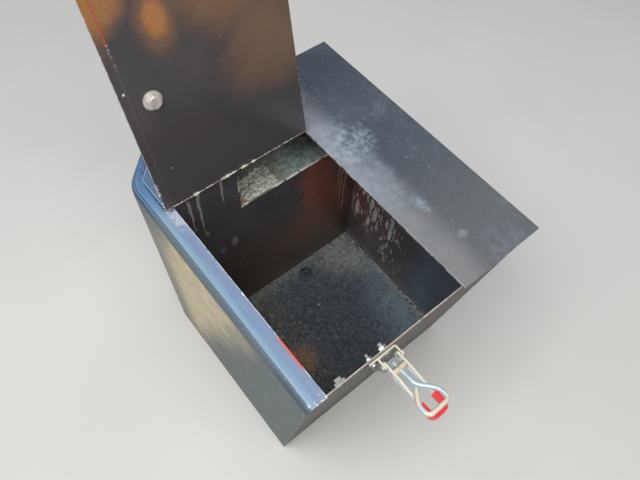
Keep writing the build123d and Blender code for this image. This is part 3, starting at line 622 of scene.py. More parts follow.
def shelf_paint():
    g = Graph("shelf_paint")
    cloud = g.noise(0.055, 4, 0.6)
    wisps = g.noise(0.01, 5, 0.72)
    fine = g.noise(0.002, 4, 0.68)
    colour, dusty, specks = shelf_top(g, cloud, wisps, fine)
    top = g.band(g.nz, 0.3, 0.9)
    below = g.ramp(cloud, 0.3, 0.7, (42, 42, 46), (60, 58, 58))
    cut = g.ramp(g.noise(0.01, 3, 0.6), 0.38, 0.58, (96, 92, 92), (170, 168, 168))
    colour = g.mix(top, g.ramp(g.nz, -0.3, -0.9, cut, below), colour)
    rim = top * g.band(g.y, OPENING_IN + 0.0014, OPENING_IN + 0.0004) * g.band(wisps, 0.38, 0.52)
    colour.lay(rim * 0.6, (186, 186, 186))
    rough = 0.42 + dusty * 0.35 + fine * 0.15
    height = cloud * 0.3 + fine * 0.4 + specks * 0.6
    return g.finish(colour, rough, height, depth=0.0007, strength=0.5)


def cover_paint():
    """Blue as a painted reflection of the sky on the dark paint, with a dark seam round the cover's edge
    and a painted highlight line beside it.
    """
    g = Graph("cover_paint")
    cloud = g.noise(0.06, 3, 0.55)
    fine = g.noise(0.003, 4, 0.65)
    # Painted reflection: the blue stands for the sky mirrored in the dark paint.
    colour = g.ramp(cloud, 0.3, 0.7, (88, 112, 148), (104, 128, 162))
    colour.lay(g.band(fine, 0.55, 0.75) * 0.3, (160, 170, 180))
    colour.lay(g.scratches(0.04, 0.0007, 0.36, turn=1.1) * 0.35, (176, 186, 196))
    colour.lay(g.specks(0.014, 0.0011, 0.4) * 0.7, (206, 208, 212))
    from_end, from_skin = g.x - COVER_LOW.x, g.y - COVER_LOW.y
    from_slant = (from_end + from_skin - COVER_SLANT) * math.sqrt(0.5)
    inside = g.calc("MINIMUM", g.calc("MINIMUM", from_end, from_skin), from_slant)
    # Painted highlight: a light line along the cover's edge, beside the seam.
    colour.lay(g.between(inside, 0.0016, 0.0026, 0.0006) * 0.7, (136, 172, 206))
    colour.lay(g.band(inside, 0.0014, 0.0006), (34, 50, 68))
    rough = 0.24 + fine * 0.25
    return g.finish(colour, rough, fine + cloud, depth=0.0005, strength=0.4, coat=0.15, coat_rough=0.15)


def lid_glow(g):
    """Painted reflection where the lid mirrors something orange near its top, and a patch of painted shade
    below that.
    """
    def patch(across, up, radius, ragged, stretch=(0.2, 1, 1)):
        place = (LID_LOW.x + 0.03, OPENING_OUT + across, RIM + up)
        return g.spot(place, radius, ragged=ragged, stretch=stretch)

    tall = (0.2, 1.25, 0.85)
    orange_reflection = g.most(patch(0.051, 0.226, 0.038, 0.01, tall) * 0.4,
                  patch(0.051, 0.227, 0.027, 0.01, tall) * 0.95,
                  patch(0.13, 0.25, 0.085, 0.03) * 0.35,
                  patch(0, 0.262, 0.04, 0.02) * 0.75,
                  patch(0.17, 0.155, 0.08, 0.05) * 0.25)
    return orange_reflection, patch(0.118, 0.158, 0.045, 0.05)


def lid_crease(g, inner):
    """A faint crease beside the free long edge, its line a painted reflection of an edge; a painted orange
    reflection and red primer near its top; nicks along it.
    """
    off = abs(g.y - (LID_LOW.y + 0.0092))
    crease_and_reflection = g.band(off, 0.001, 0.0004) * g.band(g.noise(0.03), 0.35, 0.5)
    # Painted reflection: the crease's line stands for an edge mirrored in the paint.
    inner.lay(crease_and_reflection * 0.22, (118, 110, 106))
    high = g.band(g.z, RIM + 0.195, RIM + 0.265)
    # Painted reflection: an orange strip between the crease and the free edge near the top.
    inner.lay(g.band(g.y, LID_LOW.y + 0.0096, LID_LOW.y + 0.0088) * high * 0.65, (162, 110, 52))
    inner.lay(g.band(off, 0.001, 0.0004) * g.band(g.z, RIM + 0.216, RIM + 0.228), (186, 70, 58))
    nicks = g.band(g.noise(0.0035, 2, 0.6), 0.53, 0.59)
    nicks = nicks * g.band(off, 0.0016, 0.0008) * g.between(g.z, RIM + 0.2, RIM + 0.22, 0.008)
    inner.lay(nicks * 0.7, (198, 186, 178))
    return crease_and_reflection


def lid_edges(g, colour, front):
    """Chips on both long edges and along the hinged one. Gives where the paint is off."""
    side = g.band(abs(g.ny), 0.8, 0.95)
    chipped = side * g.band(g.noise(0.008, 4, 0.6), 0.5, 0.56)
    colour.lay(side * (1 - chipped), (84, 84, 84))
    colour.lay(chipped * 0.9, (206, 202, 194))
    low = g.between(g.z, RIM + 0.032, RIM + 0.048, 0.006)
    torn = g.band(g.y, LID_LOW.y + 0.0026, LID_LOW.y + 0.0008) * low
    torn = torn * g.band(g.noise(0.005, 4, 0.65), 0.5, 0.56)
    colour.lay(torn * front, (226, 220, 212))
    inner_edge = g.band(g.y, LID_HIGH.y - 0.0018, LID_HIGH.y - 0.0006)
    inner_edge = inner_edge * g.band(g.noise(0.0045, 4, 0.65), 0.58, 0.64)
    colour.lay(inner_edge * front * 0.8, (186, 178, 164))
    hem = g.band(g.z, RIM + 0.012, RIM + 0.0106)
    shed = g.ramp(g.noise(0.004, 4, 0.7), 0.5, 0.6, (104, 74, 60), (214, 206, 196))
    shed.lay(g.band(g.noise(0.012, 3, 0.6), 0.52, 0.64), (64, 56, 54))
    colour.lay(hem, shed)
    return g.most(chipped, torn, hem)


def lid_paint():
    """Glossy dark paint inside, with painted reflections near the top; outside, blue as a painted
    reflection of the sky; chipped along the edges.
    """
    g = Graph("lid_paint")
    cloud = g.noise(0.09, 3, 0.55)
    fine = g.noise(0.003, 4, 0.6)
    inner = g.ramp(cloud, 0.3, 0.7, (64, 60, 62), (72, 67, 69))
    inner.lay(g.band(g.z, RIM + 0.14, RIM + 0.02) * 0.6, (78, 75, 76))
    # Painted reflection: a warm brown over the upper inside stands for the orange machine mirrored in the
    # paint.
    upper = g.band(g.z, RIM + 0.1, RIM + 0.24) * g.band(g.y, OPENING_OUT + 0.04, OPENING_IN - 0.08)
    inner.lay(upper * g.band(cloud, 0.25, 0.7) * 0.7, (104, 82, 66))
    orange_reflection, shaded = lid_glow(g)
    # Painted shade, then the painted orange reflection.
    inner.lay(shaded * 0.6, (58, 54, 58))
    inner.lay(orange_reflection * 0.8, g.ramp(g.noise(0.0016, 3, 0.7), 0.42, 0.62, (180, 116, 56), (192, 138, 80)))
    crease_and_reflection = lid_crease(g, inner)
    for across, up, radius in ((0.0062, 0.170, 0.002), (0.026, 0.0626, 0.001)):
        inner.lay(g.spot((0, LID_LOW.y + across, RIM + up), radius, stretch=(0, 1, 1)), (228, 224, 218))
    specks = g.two_specks((0.018, 0.001, 0.35), (0.01, 0.0006, 0.35), (7, 3, 1))
    inner.lay(specks * 0.5, (140, 134, 130))
    scuffs = g.scratches(0.035, 0.0009, 0.38, turn=0.9, upright=True)
    inner.lay(scuffs * g.band(g.z, RIM + 0.17, RIM + 0.05) * 0.3, (112, 107, 106))

    # Painted reflection: the outside's blue stands for the sky mirrored in the dark paint.
    outer = g.ramp(cloud, 0.3, 0.7, (96, 118, 148), (112, 134, 160))
    outer.lay(g.band(fine, 0.5, 0.75) * 0.4, (156, 162, 166))
    outer.lay(specks * 0.6, (206, 206, 204))
    front = g.band(g.nx, -0.1, 0.4)
    colour = g.mix(front, outer, inner)
    bare = lid_edges(g, colour, front)
    rough = g.level(front, 0.26, 0.22) + g.most(bare, specks) * 0.4 + fine * 0.08
    height = cloud * 0.8 + fine * 0.06 + crease_and_reflection * -0.3
    return g.finish(colour, rough, height, depth=0.0008, strength=0.35, coat=0.35, coat_rough=0.14)


def bracket_paint():
    g = Graph("bracket_paint")
    cloud = g.noise(0.03, 4, 0.6)
    fine = g.noise(0.0025, 4, 0.6)
    colour = g.ramp(cloud, 0.3, 0.7, (44, 45, 48), (62, 62, 62))
    colour.lay(g.band(fine, 0.52, 0.7) * 0.5, (124, 114, 96))
    colour.lay(g.specks(0.01, 0.0018, 0.5) * 0.7, (150, 120, 96))
    edge = g.band(abs(g.nz), 0.8, 0.95)
    colour.lay(edge * g.band(cloud, 0.4, 0.55), (150, 142, 132))
    rough = g.level(g.band(fine, 0.3, 0.7), 0.38, 0.7)
    return g.finish(colour, rough, fine + cloud, depth=0.0006, strength=0.5)


def zinc(name, bright, dull, bloom=0.3, grime=0.25, thread=None, tint=None, matt=0.0):
    """Zinc plate with dull patches, a little white rust and some grime, and, where a tint is given, a
    painted tone on the faces that it picks, standing for how light falls on them.
    """
    g = Graph(name)
    cloud = g.noise(0.009, 3, 0.6)
    fine = g.noise(0.0012, 3, 0.6)
    colour = g.ramp(cloud, 0.35, 0.68, bright, dull)
    if tint is not None:
        where, tone = tint
        colour.lay(where(g), tone)
    white = g.band(g.noise(0.005, 4, 0.65), 0.6, 0.74) * bloom
    colour.lay(white, (236, 234, 228))
    dirt = g.band(g.noise(0.007, 4, 0.6, shift=(3, 1, 2)), 0.62, 0.76) * grime
    colour.lay(dirt, (120, 108, 92))
    rough = g.level(g.band(cloud, 0.3, 0.7), 0.3 + matt, 0.42 + matt) + white * 0.8 + dirt * 0.5
    metal = (1 - g.most(white, dirt)) * 0.55
    height = fine * 0.4 + cloud * 0.5 + white
    if thread is not None:
        height = height + thread(g)
    return g.finish(colour, rough, height, depth=0.00022, strength=0.6, metal=metal)


THREAD_PITCH = 0.001
LOOP_LEAN = math.radians(13.2)


def thread_along(g, origin, direction, start, end):
    """Fine rings square to a rod's direction, between two distances from its origin."""
    distance = (g.x - origin[0]) * direction[0] + (g.z - origin[2]) * direction[2]
    turns = g.calc("SINE", distance * (2 * math.pi / THREAD_PITCH))
    return turns * g.between(distance, start, end, 0.0008)


def lit_from_above(g):
    # Painted light: faces turned up get a lighter, warmer tone.
    return g.band(g.nz, 0.45, 0.75)


def facing_box_shade(g):
    # Painted shade: faces turned to the box get a darker grey-blue.
    return g.band(g.nx, -0.2, -0.5)


def loop_reflections(g):
    """Painted warm reflection on the loop's end bar and along the start of its outer side."""
    low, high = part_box("loop")
    middle = (low.y + high.y) / 2
    end_bar = g.band(g.x, high.x - 0.01, high.x - 0.006)
    outer_side = g.band(g.y, middle - 0.00175, middle - 0.00475)
    return g.most(end_bar, g.between(g.x, low.x + 0.04, low.x + 0.051, 0.004) * outer_side) * 0.8


def loop_thread(g):
    trunnion = JOINTS["latch_loop_pivot"]["pos_m"]
    return thread_along(g, trunnion, (math.cos(LOOP_LEAN), 0, math.sin(LOOP_LEAN)), -0.02, 0.015)


def bolt_thread(g):
    outward = (math.cos(UNDERCUT), 0, -math.sin(UNDERCUT))
    return thread_along(g, (NEAR, 0, RIM), outward, -0.03, -0.0042)


def vinyl():
    g = Graph("red_vinyl")
    cloud = g.noise(0.008, 3, 0.6)
    fine = g.noise(0.0012, 3, 0.6)
    colour = g.ramp(cloud, 0.3, 0.7, (228, 40, 52), (244, 62, 70))
    dirt = g.band(g.noise(0.004, 4, 0.65), 0.58, 0.74) * 0.4
    colour.lay(dirt, (134, 46, 44))
    return g.finish(colour, 0.3 + dirt * 0.5, fine + cloud, depth=0.0004, strength=0.4)


def rubber():
    # Painted shade: dark rubber that stands in for the shade inside the drain hole.
    g = Graph("drain_rubber_shade")
    cloud = g.noise(0.006, 3, 0.6)
    dust = g.band(g.noise(0.003, 4, 0.65), 0.45, 0.65)
    colour = g.mix(cloud, (62, 68, 76), (78, 84, 92))
    colour.lay(dust * 0.8, (112, 122, 134))
    outer = g.most(abs(g.x - DRAIN.x), abs(g.y - DRAIN.y))
    colour.lay(g.band(outer, 0.0106, 0.0114) * 0.7, (50, 56, 62))
    return g.finish(colour, g.level(dust, 0.5, 0.8), cloud, depth=0.0003, strength=0.5, specular=0.3)


def weld_paint():
    g = Graph("weld_paint")
    cloud = g.noise(0.006, 4, 0.6)
    colour = g.ramp(cloud, 0.35, 0.65, (92, 108, 130), (120, 122, 120))
    colour.lay(g.band(cloud, 0.64, 0.74), (142, 100, 70))
    return g.finish(colour, g.level(cloud, 0.35, 0.6), cloud, depth=0.0004, strength=0.6)


def flakes_paint():
    g = Graph("flaked_edge")
    cloud = g.noise(0.005, 4, 0.65)
    colour = g.ramp(cloud, 0.38, 0.56, (176, 160, 146), (232, 226, 216))
    colour.lay(g.band(cloud, 0.62, 0.72), (156, 104, 78))
    return g.finish(colour, g.level(cloud, 0.6, 0.8), cloud, depth=0.0005, strength=0.7, specular=0.3)


def grit_paint(name, dark, light, stain):
    g = Graph(name)
    cloud = g.noise(0.004, 4, 0.65)
    colour = g.ramp(cloud, 0.3, 0.7, dark, light)
    colour.lay(g.band(g.noise(0.012), 0.58, 0.7), stain)
    return g.finish(colour, g.level(cloud, 0.8, 0.95), cloud, depth=0.0006, strength=0.8, specular=0.2)


def studio_floor():
    g = Graph("studio_floor")
    colour = g.ramp(g.noise(0.5, 3), 0.3, 0.7, (222, 221, 218), (228, 227, 224))
    return g.finish(colour, 0.8, g.noise(0.02), depth=0.0002, strength=0.2, specular=0.2)


def paint_nodes():
    """Every CAD node's material."""
    cover, bracket = cover_paint(), bracket_paint()
    # Painted light: the plate and the lever lighter and warmer on faces turned up.
    plain = zinc("zinc_plate", (150, 154, 150), (122, 128, 126), 0.35, 0.3, tint=(lit_from_above, (232, 222, 202)))
    strip = zinc("zinc_strip", (234, 246, 252), (210, 226, 236), 0.3, 0.12, tint=(lit_from_above, (240, 232, 216)))
    hinge = zinc("zinc_hinge", (176, 174, 166), (140, 138, 132), 0.45, 0.5)
    materials = {
        "outer_skin": skin_paint(),
        "near_end_plate": end_paint(),
        "rest_tab": zinc("dusty_tab", (160, 162, 156), (136, 138, 132), 0.3, 0.4),
        "hinge_wall": hinge_wall_paint(),
        "inner_wall": inner_wall_paint(),
        "floor_plate": floor_paint(),
        "ledge_plate": ledge_paint(),
        "shelf_plate": shelf_paint(),
        "fixed_cover": cover,
        "lid_stops": cover,
        "chassis_bracket_far": bracket,
        "chassis_bracket_near": bracket,
        "hinge_fixed_leaf": hinge,
        "hinge_pin": hinge,
        "hinge_lid_leaf": hinge,
        "latch_base": plain,
        "latch_bolts": zinc("zinc_bolt", (186, 198, 200), (150, 160, 160), 0.3, 0.25, bolt_thread),
        "lever_rivets": plain,
        "lid_plate": lid_paint(),
        "lid_stud": zinc("zinc_stud", (222, 216, 206), (196, 190, 182), 0.4, 0.35),
        "strike": plain,
        "lever": strip,
        "lever_grip": vinyl(),
        # Painted reflection: the pin's beige stands for the ground mirrored in it, with painted shade on
        # the faces turned to the box.
        "trunnion": zinc("zinc_pin", (236, 210, 180), (206, 182, 154), 0.25, 0.2,
                         tint=(facing_box_shade, (164, 180, 186)), matt=0.1),
        # Painted reflection: the rod's light blue stands for the sky mirrored in it, warm on its end bar.
        "loop": zinc("zinc_rod", (196, 218, 228), (190, 204, 204), 0.2, 0.15, loop_thread,
                     tint=(loop_reflections, (246, 222, 196)), matt=0.12),
    }
    for name, material in materials.items():
        mesh = frame["nodes"][name].data
        mesh.materials.clear()
        mesh.materials.append(material)


# Pieces that the solids don't have

def piece(name, bm, material, body, smooth=True):
    mesh = bpy.data.meshes.new(name)
    bmesh.ops.recalc_face_normals(bm, faces=bm.faces)
    bm.to_mesh(mesh)
    bm.free()
    mesh.materials.append(material)
    for polygon in mesh.polygons:
        polygon.use_smooth = smooth
    obj = bpy.data.objects.new(name, mesh)
    bpy.context.scene.collection.objects.link(obj)
    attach(obj, body)


def circle(radius, sides, height=0.0):
    """Points round a circle square to Z."""
    angles = [2 * math.pi * k / sides for k in range(sides)]
    return [Vector((radius * math.cos(a), radius * math.sin(a), height)) for a in angles]


def bridge(bm, rings):
    """Faces between rings of as many points."""
    for a, b in zip(rings, rings[1:]):
        for k in range(len(a)):
            after = (k + 1) % len(a)
            bm.faces.new((a[k], a[after], b[after], b[k]))


def tube(bm, points, radii, sides=8):
    """A closed tube along points with its own radius at each."""
    rings = []
    for i, (point, radius) in enumerate(zip(points, radii)):
        ahead = points[min(i + 1, len(points) - 1)] - points[max(i - 1, 0)]
        turn = ahead.to_track_quat("Z", "Y")
        rings.append([bm.verts.new(point + turn @ out) for out in circle(radius, sides)])
    bridge(bm, rings)
    bm.faces.new(rings[0][::-1])
    bm.faces.new(rings[-1])


def steps_between(start, end, step):
    count = max(2, int((end - start).length / step) + 1)
    return [start.lerp(end, i / (count - 1)) for i in range(count)]


def weld_bead(bm, start, end, radius):
    """A row of overlapping scales, as a stick weld leaves."""
    points = steps_between(Vector(start), Vector(end), radius * 0.35)
    radii = []
    for i, point in enumerate(points):
        scale = 1 - 0.16 * ((i % 4) / 3)
        uneven = 1 + 0.25 * (noise.noise(point * 160) - 0.2)
        radii.append(radius * scale * uneven)
    radii[0] = radii[-1] = radius * 0.4
    tube(bm, points, radii)


def ball():
    """The points and triangles of one small ball."""
    bm = bmesh.new()
    bmesh.ops.create_icosphere(bm, subdivisions=2, radius=1.0)
    bm.verts.index_update()
    points = [vert.co.copy() for vert in bm.verts]
    faces = [[vert.index for vert in face.verts] for face in bm.faces]
    bm.free()
    return points, faces


BALL_POINTS, BALL_FACES = ball()


def stone(bm, place, radius, rng, flat=0.75):
    """One crumb: a ball pushed in and out unevenly, flattened and turned."""
    axis = Vector((rng.random(), rng.random(), rng.random() + 0.1)).normalized()
    turn = Matrix.Rotation(rng.uniform(0, 2 * math.pi), 3, axis)
    shift = Vector((rng.random(), rng.random(), rng.random())) * 50
    made = []
    for out in BALL_POINTS:
        swell = 1 + 0.45 * noise.noise(out * 1.3 + shift) + 0.18 * noise.noise(out * 3.1 + shift)
        point = turn @ (out * swell * radius)
        made.append(bm.verts.new(Vector(place) + Vector((point.x, point.y, point.z * flat))))
    for face in BALL_FACES:
        bm.faces.new([made[i] for i in face])


def scatter(rng, count, low, high, bias=1.0):
    """Random places in a rectangle; a bias over 1 crowds them towards the first corner."""
    return [[a + (b - a) * rng.random() ** bias for a, b in zip(low, high)] for _ in range(count)]


# The ragged edge runs along the open lid's lower inside corner
LID_EDGE_X = HINGE + 0.0059
LID_EDGE_Z = RIM + 0.0106
LID_OPEN = math.radians(103.2)

# Distance along the edge from the opening's outer corner, then what a lump adds to the radius and
# how far it spreads, or a crumb's radius
EDGE_LUMPS = ((0.0305, 0.0017, 0.0042), (0.1040, 0.0012, 0.0060), (0.1190, 0.0011, 0.0045),
              (0.0760, 0.0010, 0.0060), (0.0880, 0.0009, 0.0045), (0.0490, 0.0006, 0.0040))
EDGE_CRUMBS = ((0.0292, 0.0019), (0.0320, 0.0017), (0.0344, 0.0011), (0.0540, 0.0009), (0.0695, 0.0012),
               (0.0725, 0.0017), (0.0758, 0.0019), (0.0785, 0.0018), (0.0825, 0.0015), (0.0868, 0.0016),
               (0.0995, 0.0015), (0.1025, 0.0018), (0.1054, 0.0017), (0.1090, 0.0012), (0.1164, 0.0013),
               (0.1187, 0.0016), (0.1380, 0.0009), (0.1610, 0.0008))

# Height over the rim, and radius
FREE_EDGE_CHIPS = ((0.0511, 0.0010), (0.0472, 0.0011), (0.0399, 0.0012), (0.0352, 0.0011), (0.0215, 0.0012),
                   (0.0155, 0.0010), (0.0115, 0.0009))


def waver(y, per_metre, *row):
    """Smooth noise along Y, with so many waves per metre and its own row of two numbers."""
    return noise.noise(Vector((y * per_metre, *row)))


def lid_edge_flakes(material):
    """Filler and paint that has cracked off along the lid's hinged edge."""
    thinnest, thickest = 0.0001, 0.0018
    points, radii = [], []
    start = Vector((LID_EDGE_X, OPENING_OUT + 0.0030, LID_EDGE_Z))
    end = Vector((LID_EDGE_X, LID_HIGH.y - 0.0006, LID_EDGE_Z))
    for point in steps_between(start, end, 0.0006):
        rough = waver(point.y, 300, 3, 1) * 0.6 + waver(point.y, 900, 8, 2) * 0.4
        still_there = max(0.0, min(1.0, waver(point.y, 95, 5, 4) * 4 + 0.7))
        radius = 0.00012 + 0.00045 * max(0.0, rough + 0.25) * still_there
        for along, more, spread in EDGE_LUMPS:
            off = (point.y - OPENING_OUT - along) / spread
            radius += more * max(0.0, 1 - off ** 2) * (0.7 + 0.8 * rough)
        sway = waver(point.y, 220, 1, 9) * 0.0004
        points.append(point + Vector((sway * 0.5, 0, sway - 0.0001)))
        radii.append(min(max(radius, thinnest), thickest))
    bm = bmesh.new()
    tube(bm, points, radii, sides=7)
    rng = random.Random(SEED + 3)
    for along, radius in EDGE_CRUMBS:
        stone(bm, (LID_EDGE_X + 0.0008, OPENING_OUT + along, LID_EDGE_Z + 0.0009), radius, rng, flat=1.0)
    piece("lid_edge_flakes", bm, material, "lid")


def lid_chips(material):
    """Flakes standing off the lid's long free edge, low down."""
    rng = random.Random(SEED)
    bm = bmesh.new()
    for height, radius in FREE_EDGE_CHIPS:
        lean = (height - 0.0104) * math.tan(LID_OPEN - math.pi / 2)
        place = (LID_EDGE_X - 0.0015 - lean, LID_LOW.y + 0.0001, RIM + height)
        stone(bm, place, radius, rng, flat=1.5)
    piece("lid_chips", bm, material, "lid", smooth=False)


def ledge_dirt(pale, dark):
    """Lumps of dried mud by the notch, and crumbs over the whole ledge."""
    rng = random.Random(SEED + 1)
    bm = bmesh.new()
    for x, y in scatter(rng, 120, (HINGE - 0.006, NOTCH + 0.012), (HINGE - 0.046, NOTCH + 0.070)):
        stone(bm, (x, y, LEDGE_TOP + 0.0006), rng.uniform(0.0008, 0.0052), rng, flat=0.45)
    piece("ledge_lumps", bm, pale, "storage_box")
    bm = bmesh.new()
    for x, y in scatter(rng, 150, (HINGE - 0.004, NOTCH + 0.004), (HINGE - 0.060, BACK - 0.012)):
        stone(bm, (x, y, LEDGE_TOP + 0.0003), rng.uniform(0.0004, 0.0013), rng, flat=0.5)
    piece("ledge_grit", bm, dark, "storage_box")


# Distances from the hinge wall and from the opening's outer edge, and radius
LOOSE_STONES = ((0.0926, 0.1846, 0.0030), (0.0245, 0.2478, 0.0036), (0.0976, 0.1351, 0.0020))


def floor_grit(pale, dark):
    """Crumbs: a line at the foot of the inner wall, a pile in the corner and loose ones elsewhere."""
    foot = BACK - 0.0018
    # How many, two corners of their area, how much they crowd to the first one, and their radii
    areas = (
        (46, (HINGE + 0.044, foot), (HINGE + 0.088, foot - 0.005), 1.0, (0.0008, 0.0019)),
        (34, (HINGE + 0.175, foot), (HINGE + 0.225, foot - 0.005), 1.0, (0.0008, 0.0019)),
        (60, (HINGE, foot), (HINGE + 0.22, foot - 0.005), 1.0, (0.0008, 0.0019)),
        (120, (HINGE + 0.002, BACK - 0.002), (HINGE + 0.075, BACK - 0.070), 1.6, (0.0005, 0.0015)),
        (90, (HINGE + 0.002, OPENING_OUT + 0.02), (HINGE + 0.030, BACK - 0.06), 1.5, (0.0005, 0.0013)),
        (110, (HINGE + 0.02, OPENING_OUT + 0.03), (NEAR - 0.060, BACK - 0.03), 1.0, (0.0004, 0.0012)),
    )
    rng = random.Random(SEED + 2)
    drops = []
    for count, first, last, crowding, radii in areas:
        for place in scatter(rng, count, first, last, crowding):
            drops.append((place, rng.uniform(*radii)))
    meshes = (bmesh.new(), bmesh.new())
    for (x, y), radius in drops:
        if math.dist((x, y), DRAIN[:2]) > 0.016:
            stone(rng.choice(meshes), (x, y, FLOOR_TOP + radius * 0.35), radius, rng, flat=0.7)
    for along, across, radius in LOOSE_STONES:
        place = (HINGE + along, OPENING_OUT + across, FLOOR_TOP + radius * 0.3)
        stone(meshes[0], place, radius, rng, flat=0.6)
    piece("floor_grit_pale", meshes[0], pale, "storage_box")
    piece("floor_grit_dark", meshes[1], dark, "storage_box")


def drain_valve_shade(material):
    """Rubber outlet in the drain hole, dark as painted shade for the inside of the hole: a rolled lip on
    the floor and four flaps cut by a cross.
    """
    lip_radius, lip_thickness, lip_height = 0.0105, 0.0011, 0.0007
    flap_radius, flap_thickness, flap_drop, tip_drop, tip_radius = 0.0097, 0.0006, 0.0014, 0.0034, 0.0004
    half_slit = 0.05
    lip_steps, flap_steps = 40, 8

    def below(radius, angle, depth):
        return DRAIN + Vector((radius * math.cos(angle), radius * math.sin(angle), -depth))

    bm = bmesh.new()
    lip = [below(lip_radius, 2 * math.pi * k / lip_steps, -lip_height) for k in range(lip_steps + 1)]
    tube(bm, lip, [lip_thickness] * len(lip))
    for quarter in range(4):
        start = quarter * math.pi / 2 + half_slit
        angles = [start + (math.pi / 2 - 2 * half_slit) * s / flap_steps for s in range(flap_steps + 1)]
        layers = []
        for depth in (0.0, flap_thickness):
            tip = bm.verts.new(below(tip_radius, start + math.pi / 4 - half_slit, tip_drop + depth))
            layers.append((tip, [bm.verts.new(below(flap_radius, a, flap_drop + depth)) for a in angles]))
        (tip_a, rim_a), (tip_b, rim_b) = layers
        for i in range(flap_steps):
            bm.faces.new((tip_a, rim_a[i], rim_a[i + 1]))
            bm.faces.new((tip_b, rim_b[i + 1], rim_b[i]))
            bm.faces.new((rim_a[i], rim_b[i], rim_b[i + 1], rim_a[i + 1]))
        bm.faces.new((tip_a, tip_b, rim_b[0], rim_a[0]))
        bm.faces.new((tip_a, rim_a[-1], rim_b[-1], tip_b))
    piece("drain_valve_shade", bm, material, "storage_box")


def bracket_welds(material):
    """Three beads down both sides of each chassis bracket's foot."""
    bm = bmesh.new()
    length, radius = 0.040, 0.0028
    wall = INNER_HIGH.y + 0.0015
    for name, outward in (("chassis_bracket_far", 1), ("chassis_bracket_near", -1)):
        low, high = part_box(name)
        foot = high.x if outward > 0 else low.x
        for x in (foot, (low.x + high.x) / 2 + 0.001 * outward):
            for up in (0.006, 0.090, 0.174):
                weld_bead(bm, (x, wall, low.z + up), (x, wall, low.z + up + length), radius)
    piece("bracket_welds", bm, material, "storage_box")


def stop_welds(material):
    """A bead down both sides of each gusset that the open lid leans on."""
    bm = bmesh.new()
    foot = COVER_HIGH.z + 0.0006
    thickness, start, end, radius = 0.004, 0.003, 0.027, 0.0020
    for y in (STOPS_LOW.y, STOPS_LOW.y + thickness, STOPS_HIGH.y, STOPS_HIGH.y - thickness):
        weld_bead(bm, (STOPS_LOW.x + start, y, foot), (STOPS_LOW.x + end, y, foot), radius)
    piece("stop_welds", bm, material, "storage_box")


def strike_welds(material):
    """Short beads down both sides of the strike, on the lid's upstand."""
    low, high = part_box("strike")
    start, end, radius = (0.0165, -0.0022), (0.0045, -0.0050), 0.0011
    bm = bmesh.new()
    for y in (low.y, high.y):
        ends = [(low.x + along, y, high.z + up) for along, up in (start, end)]
        weld_bead(bm, *ends, radius)
    piece("strike_welds", bm, material, "lid")


def dome(bm, place, outward, radius, height):
    """A low rivet head."""
    turn = Vector(outward).to_track_quat("Z", "Y")
    sides, steps = 16, 4
    rings = []
    for s in range(steps):
        angle = math.pi / 2 * s / steps
        ring = circle(radius * math.cos(angle), sides, height * math.sin(angle))
        rings.append([bm.verts.new(Vector(place) + turn @ point) for point in ring])
    top = bm.verts.new(Vector(place) + turn @ Vector((0, 0, height)))
    bridge(bm, rings)
    for k in range(sides):
        bm.faces.new((rings[-1][k], rings[-1][(k + 1) % sides], top))
    bm.faces.new(rings[0][::-1])


def hinge_rivets(material):
    """Rivets through both leaves of the hinge."""
    count, radius, height = 5, 0.0034, 0.0014
    from_end, from_pin, leaf, behind_pin = 0.008, 0.016, 0.0015, 0.002
    low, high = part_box("hinge_fixed_leaf")
    rows = [low.y + (high.y - low.y) * (i + 0.5) / count for i in range(count)]
    bm = bmesh.new()
    for y in rows:
        dome(bm, (low.x + from_end, y, COVER_HIGH.z + leaf), (0, 0, 1), radius, height)
    piece("cover_rivets", bm, material, "storage_box")
    pin = Vector(JOINTS["lid_hinge"]["pos_m"])
    up = Vector((math.cos(LID_OPEN), 0, math.sin(LID_OPEN)))
    back = Vector((-math.sin(LID_OPEN), 0, math.cos(LID_OPEN)))
    bm = bmesh.new()
    for y in rows:
        dome(bm, Vector((pin.x, y, pin.z)) + up * from_pin - back * behind_pin, back, radius, height)
    piece("lid_rivets", bm, material, "lid")


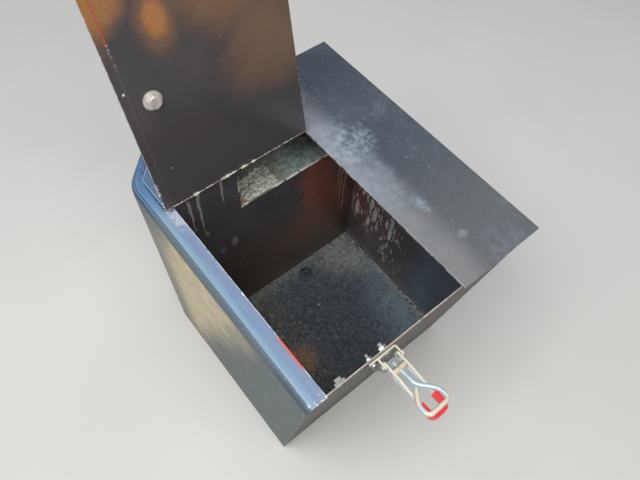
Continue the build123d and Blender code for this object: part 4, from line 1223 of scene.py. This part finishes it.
def add_pieces():
    flakes, weld = flakes_paint(), weld_paint()
    pale = grit_paint("pale_grit", (138, 142, 140), (190, 194, 188), (166, 156, 136))
    dark = grit_paint("dark_grit", (52, 52, 52), (96, 92, 84), (110, 84, 60))
    lid_edge_flakes(flakes)
    lid_chips(flakes)
    mud = grit_paint("dried_mud", (170, 170, 156), (224, 226, 216), (184, 176, 156))
    crumb = grit_paint("ledge_crumb", (112, 110, 100), (168, 164, 148), (130, 110, 90))
    ledge_dirt(mud, crumb)
    floor_grit(pale, dark)
    drain_valve_shade(rubber())
    bracket_welds(weld)
    stop_welds(weld)
    strike_welds(weld)
    hinge_rivets(zinc("zinc_rivet", (180, 178, 170), (150, 148, 140), 0.4, 0.5))


# Camera, light and floor

CAMERA_PLACE = (0.2941, -0.5067, 0.7920)
CAMERA_TURN = (31.02, -3.03, 50.75)
CAMERA_LENS = 31.62


def add_camera():
    data = bpy.data.cameras.new("camera")
    data.lens = CAMERA_LENS
    data.sensor_width = 36.0
    data.clip_start = 0.01
    camera = bpy.data.objects.new("camera", data)
    camera.location = CAMERA_PLACE
    camera.rotation_euler = [math.radians(angle) for angle in CAMERA_TURN]
    bpy.context.scene.collection.objects.link(camera)
    bpy.context.scene.camera = camera


def add_lamp(name, place, target, size, power, colour=(1, 1, 1)):
    data = bpy.data.lights.new(name, "AREA")
    data.size = size
    data.energy = power
    data.color = colour
    lamp = bpy.data.objects.new(name, data)
    lamp.location = place
    lamp.rotation_euler = (Vector(target) - Vector(place)).to_track_quat("-Z", "Y").to_euler()
    bpy.context.scene.collection.objects.link(lamp)


def add_world():
    world = bpy.data.worlds.new("world")
    bpy.context.scene.world = world
    world.use_nodes = True
    background = world.node_tree.nodes["Background"]
    background.inputs["Color"].default_value = (0.94, 0.97, 1.0, 1.0)
    background.inputs["Strength"].default_value = 0.34


def add_studio():
    bpy.context.scene.view_settings.view_transform = "Standard"
    bpy.ops.mesh.primitive_plane_add(size=80.0, location=(0, 0, GROUND - 0.0005))
    floor = bpy.context.object
    floor.name = "studio_floor"
    floor.data.materials.append(studio_floor())
    add_lamp("top", (0.12, -0.30, 1.75), (0.02, -0.25, 0.0), 0.8, 2.5)
    add_lamp("over", (0.10, -0.95, 1.45), (0.02, -0.15, 0.0), 0.7, 11.5)
    add_lamp("key", (-1.1, -1.2, 1.9), (0, -0.2, 0.1), 1.6, 6.0)
    add_lamp("fill", (1.15, -0.50, 1.75), (-0.1, -0.2, 0.1), 1.2, 12.0, (1.0, 0.98, 0.95))
    add_lamp("back", (-0.6, 1.5, 1.5), (0, -0.1, 0.1), 1.4, 5.0)


paint_nodes()
add_camera()
add_world()
add_studio()
add_pieces()
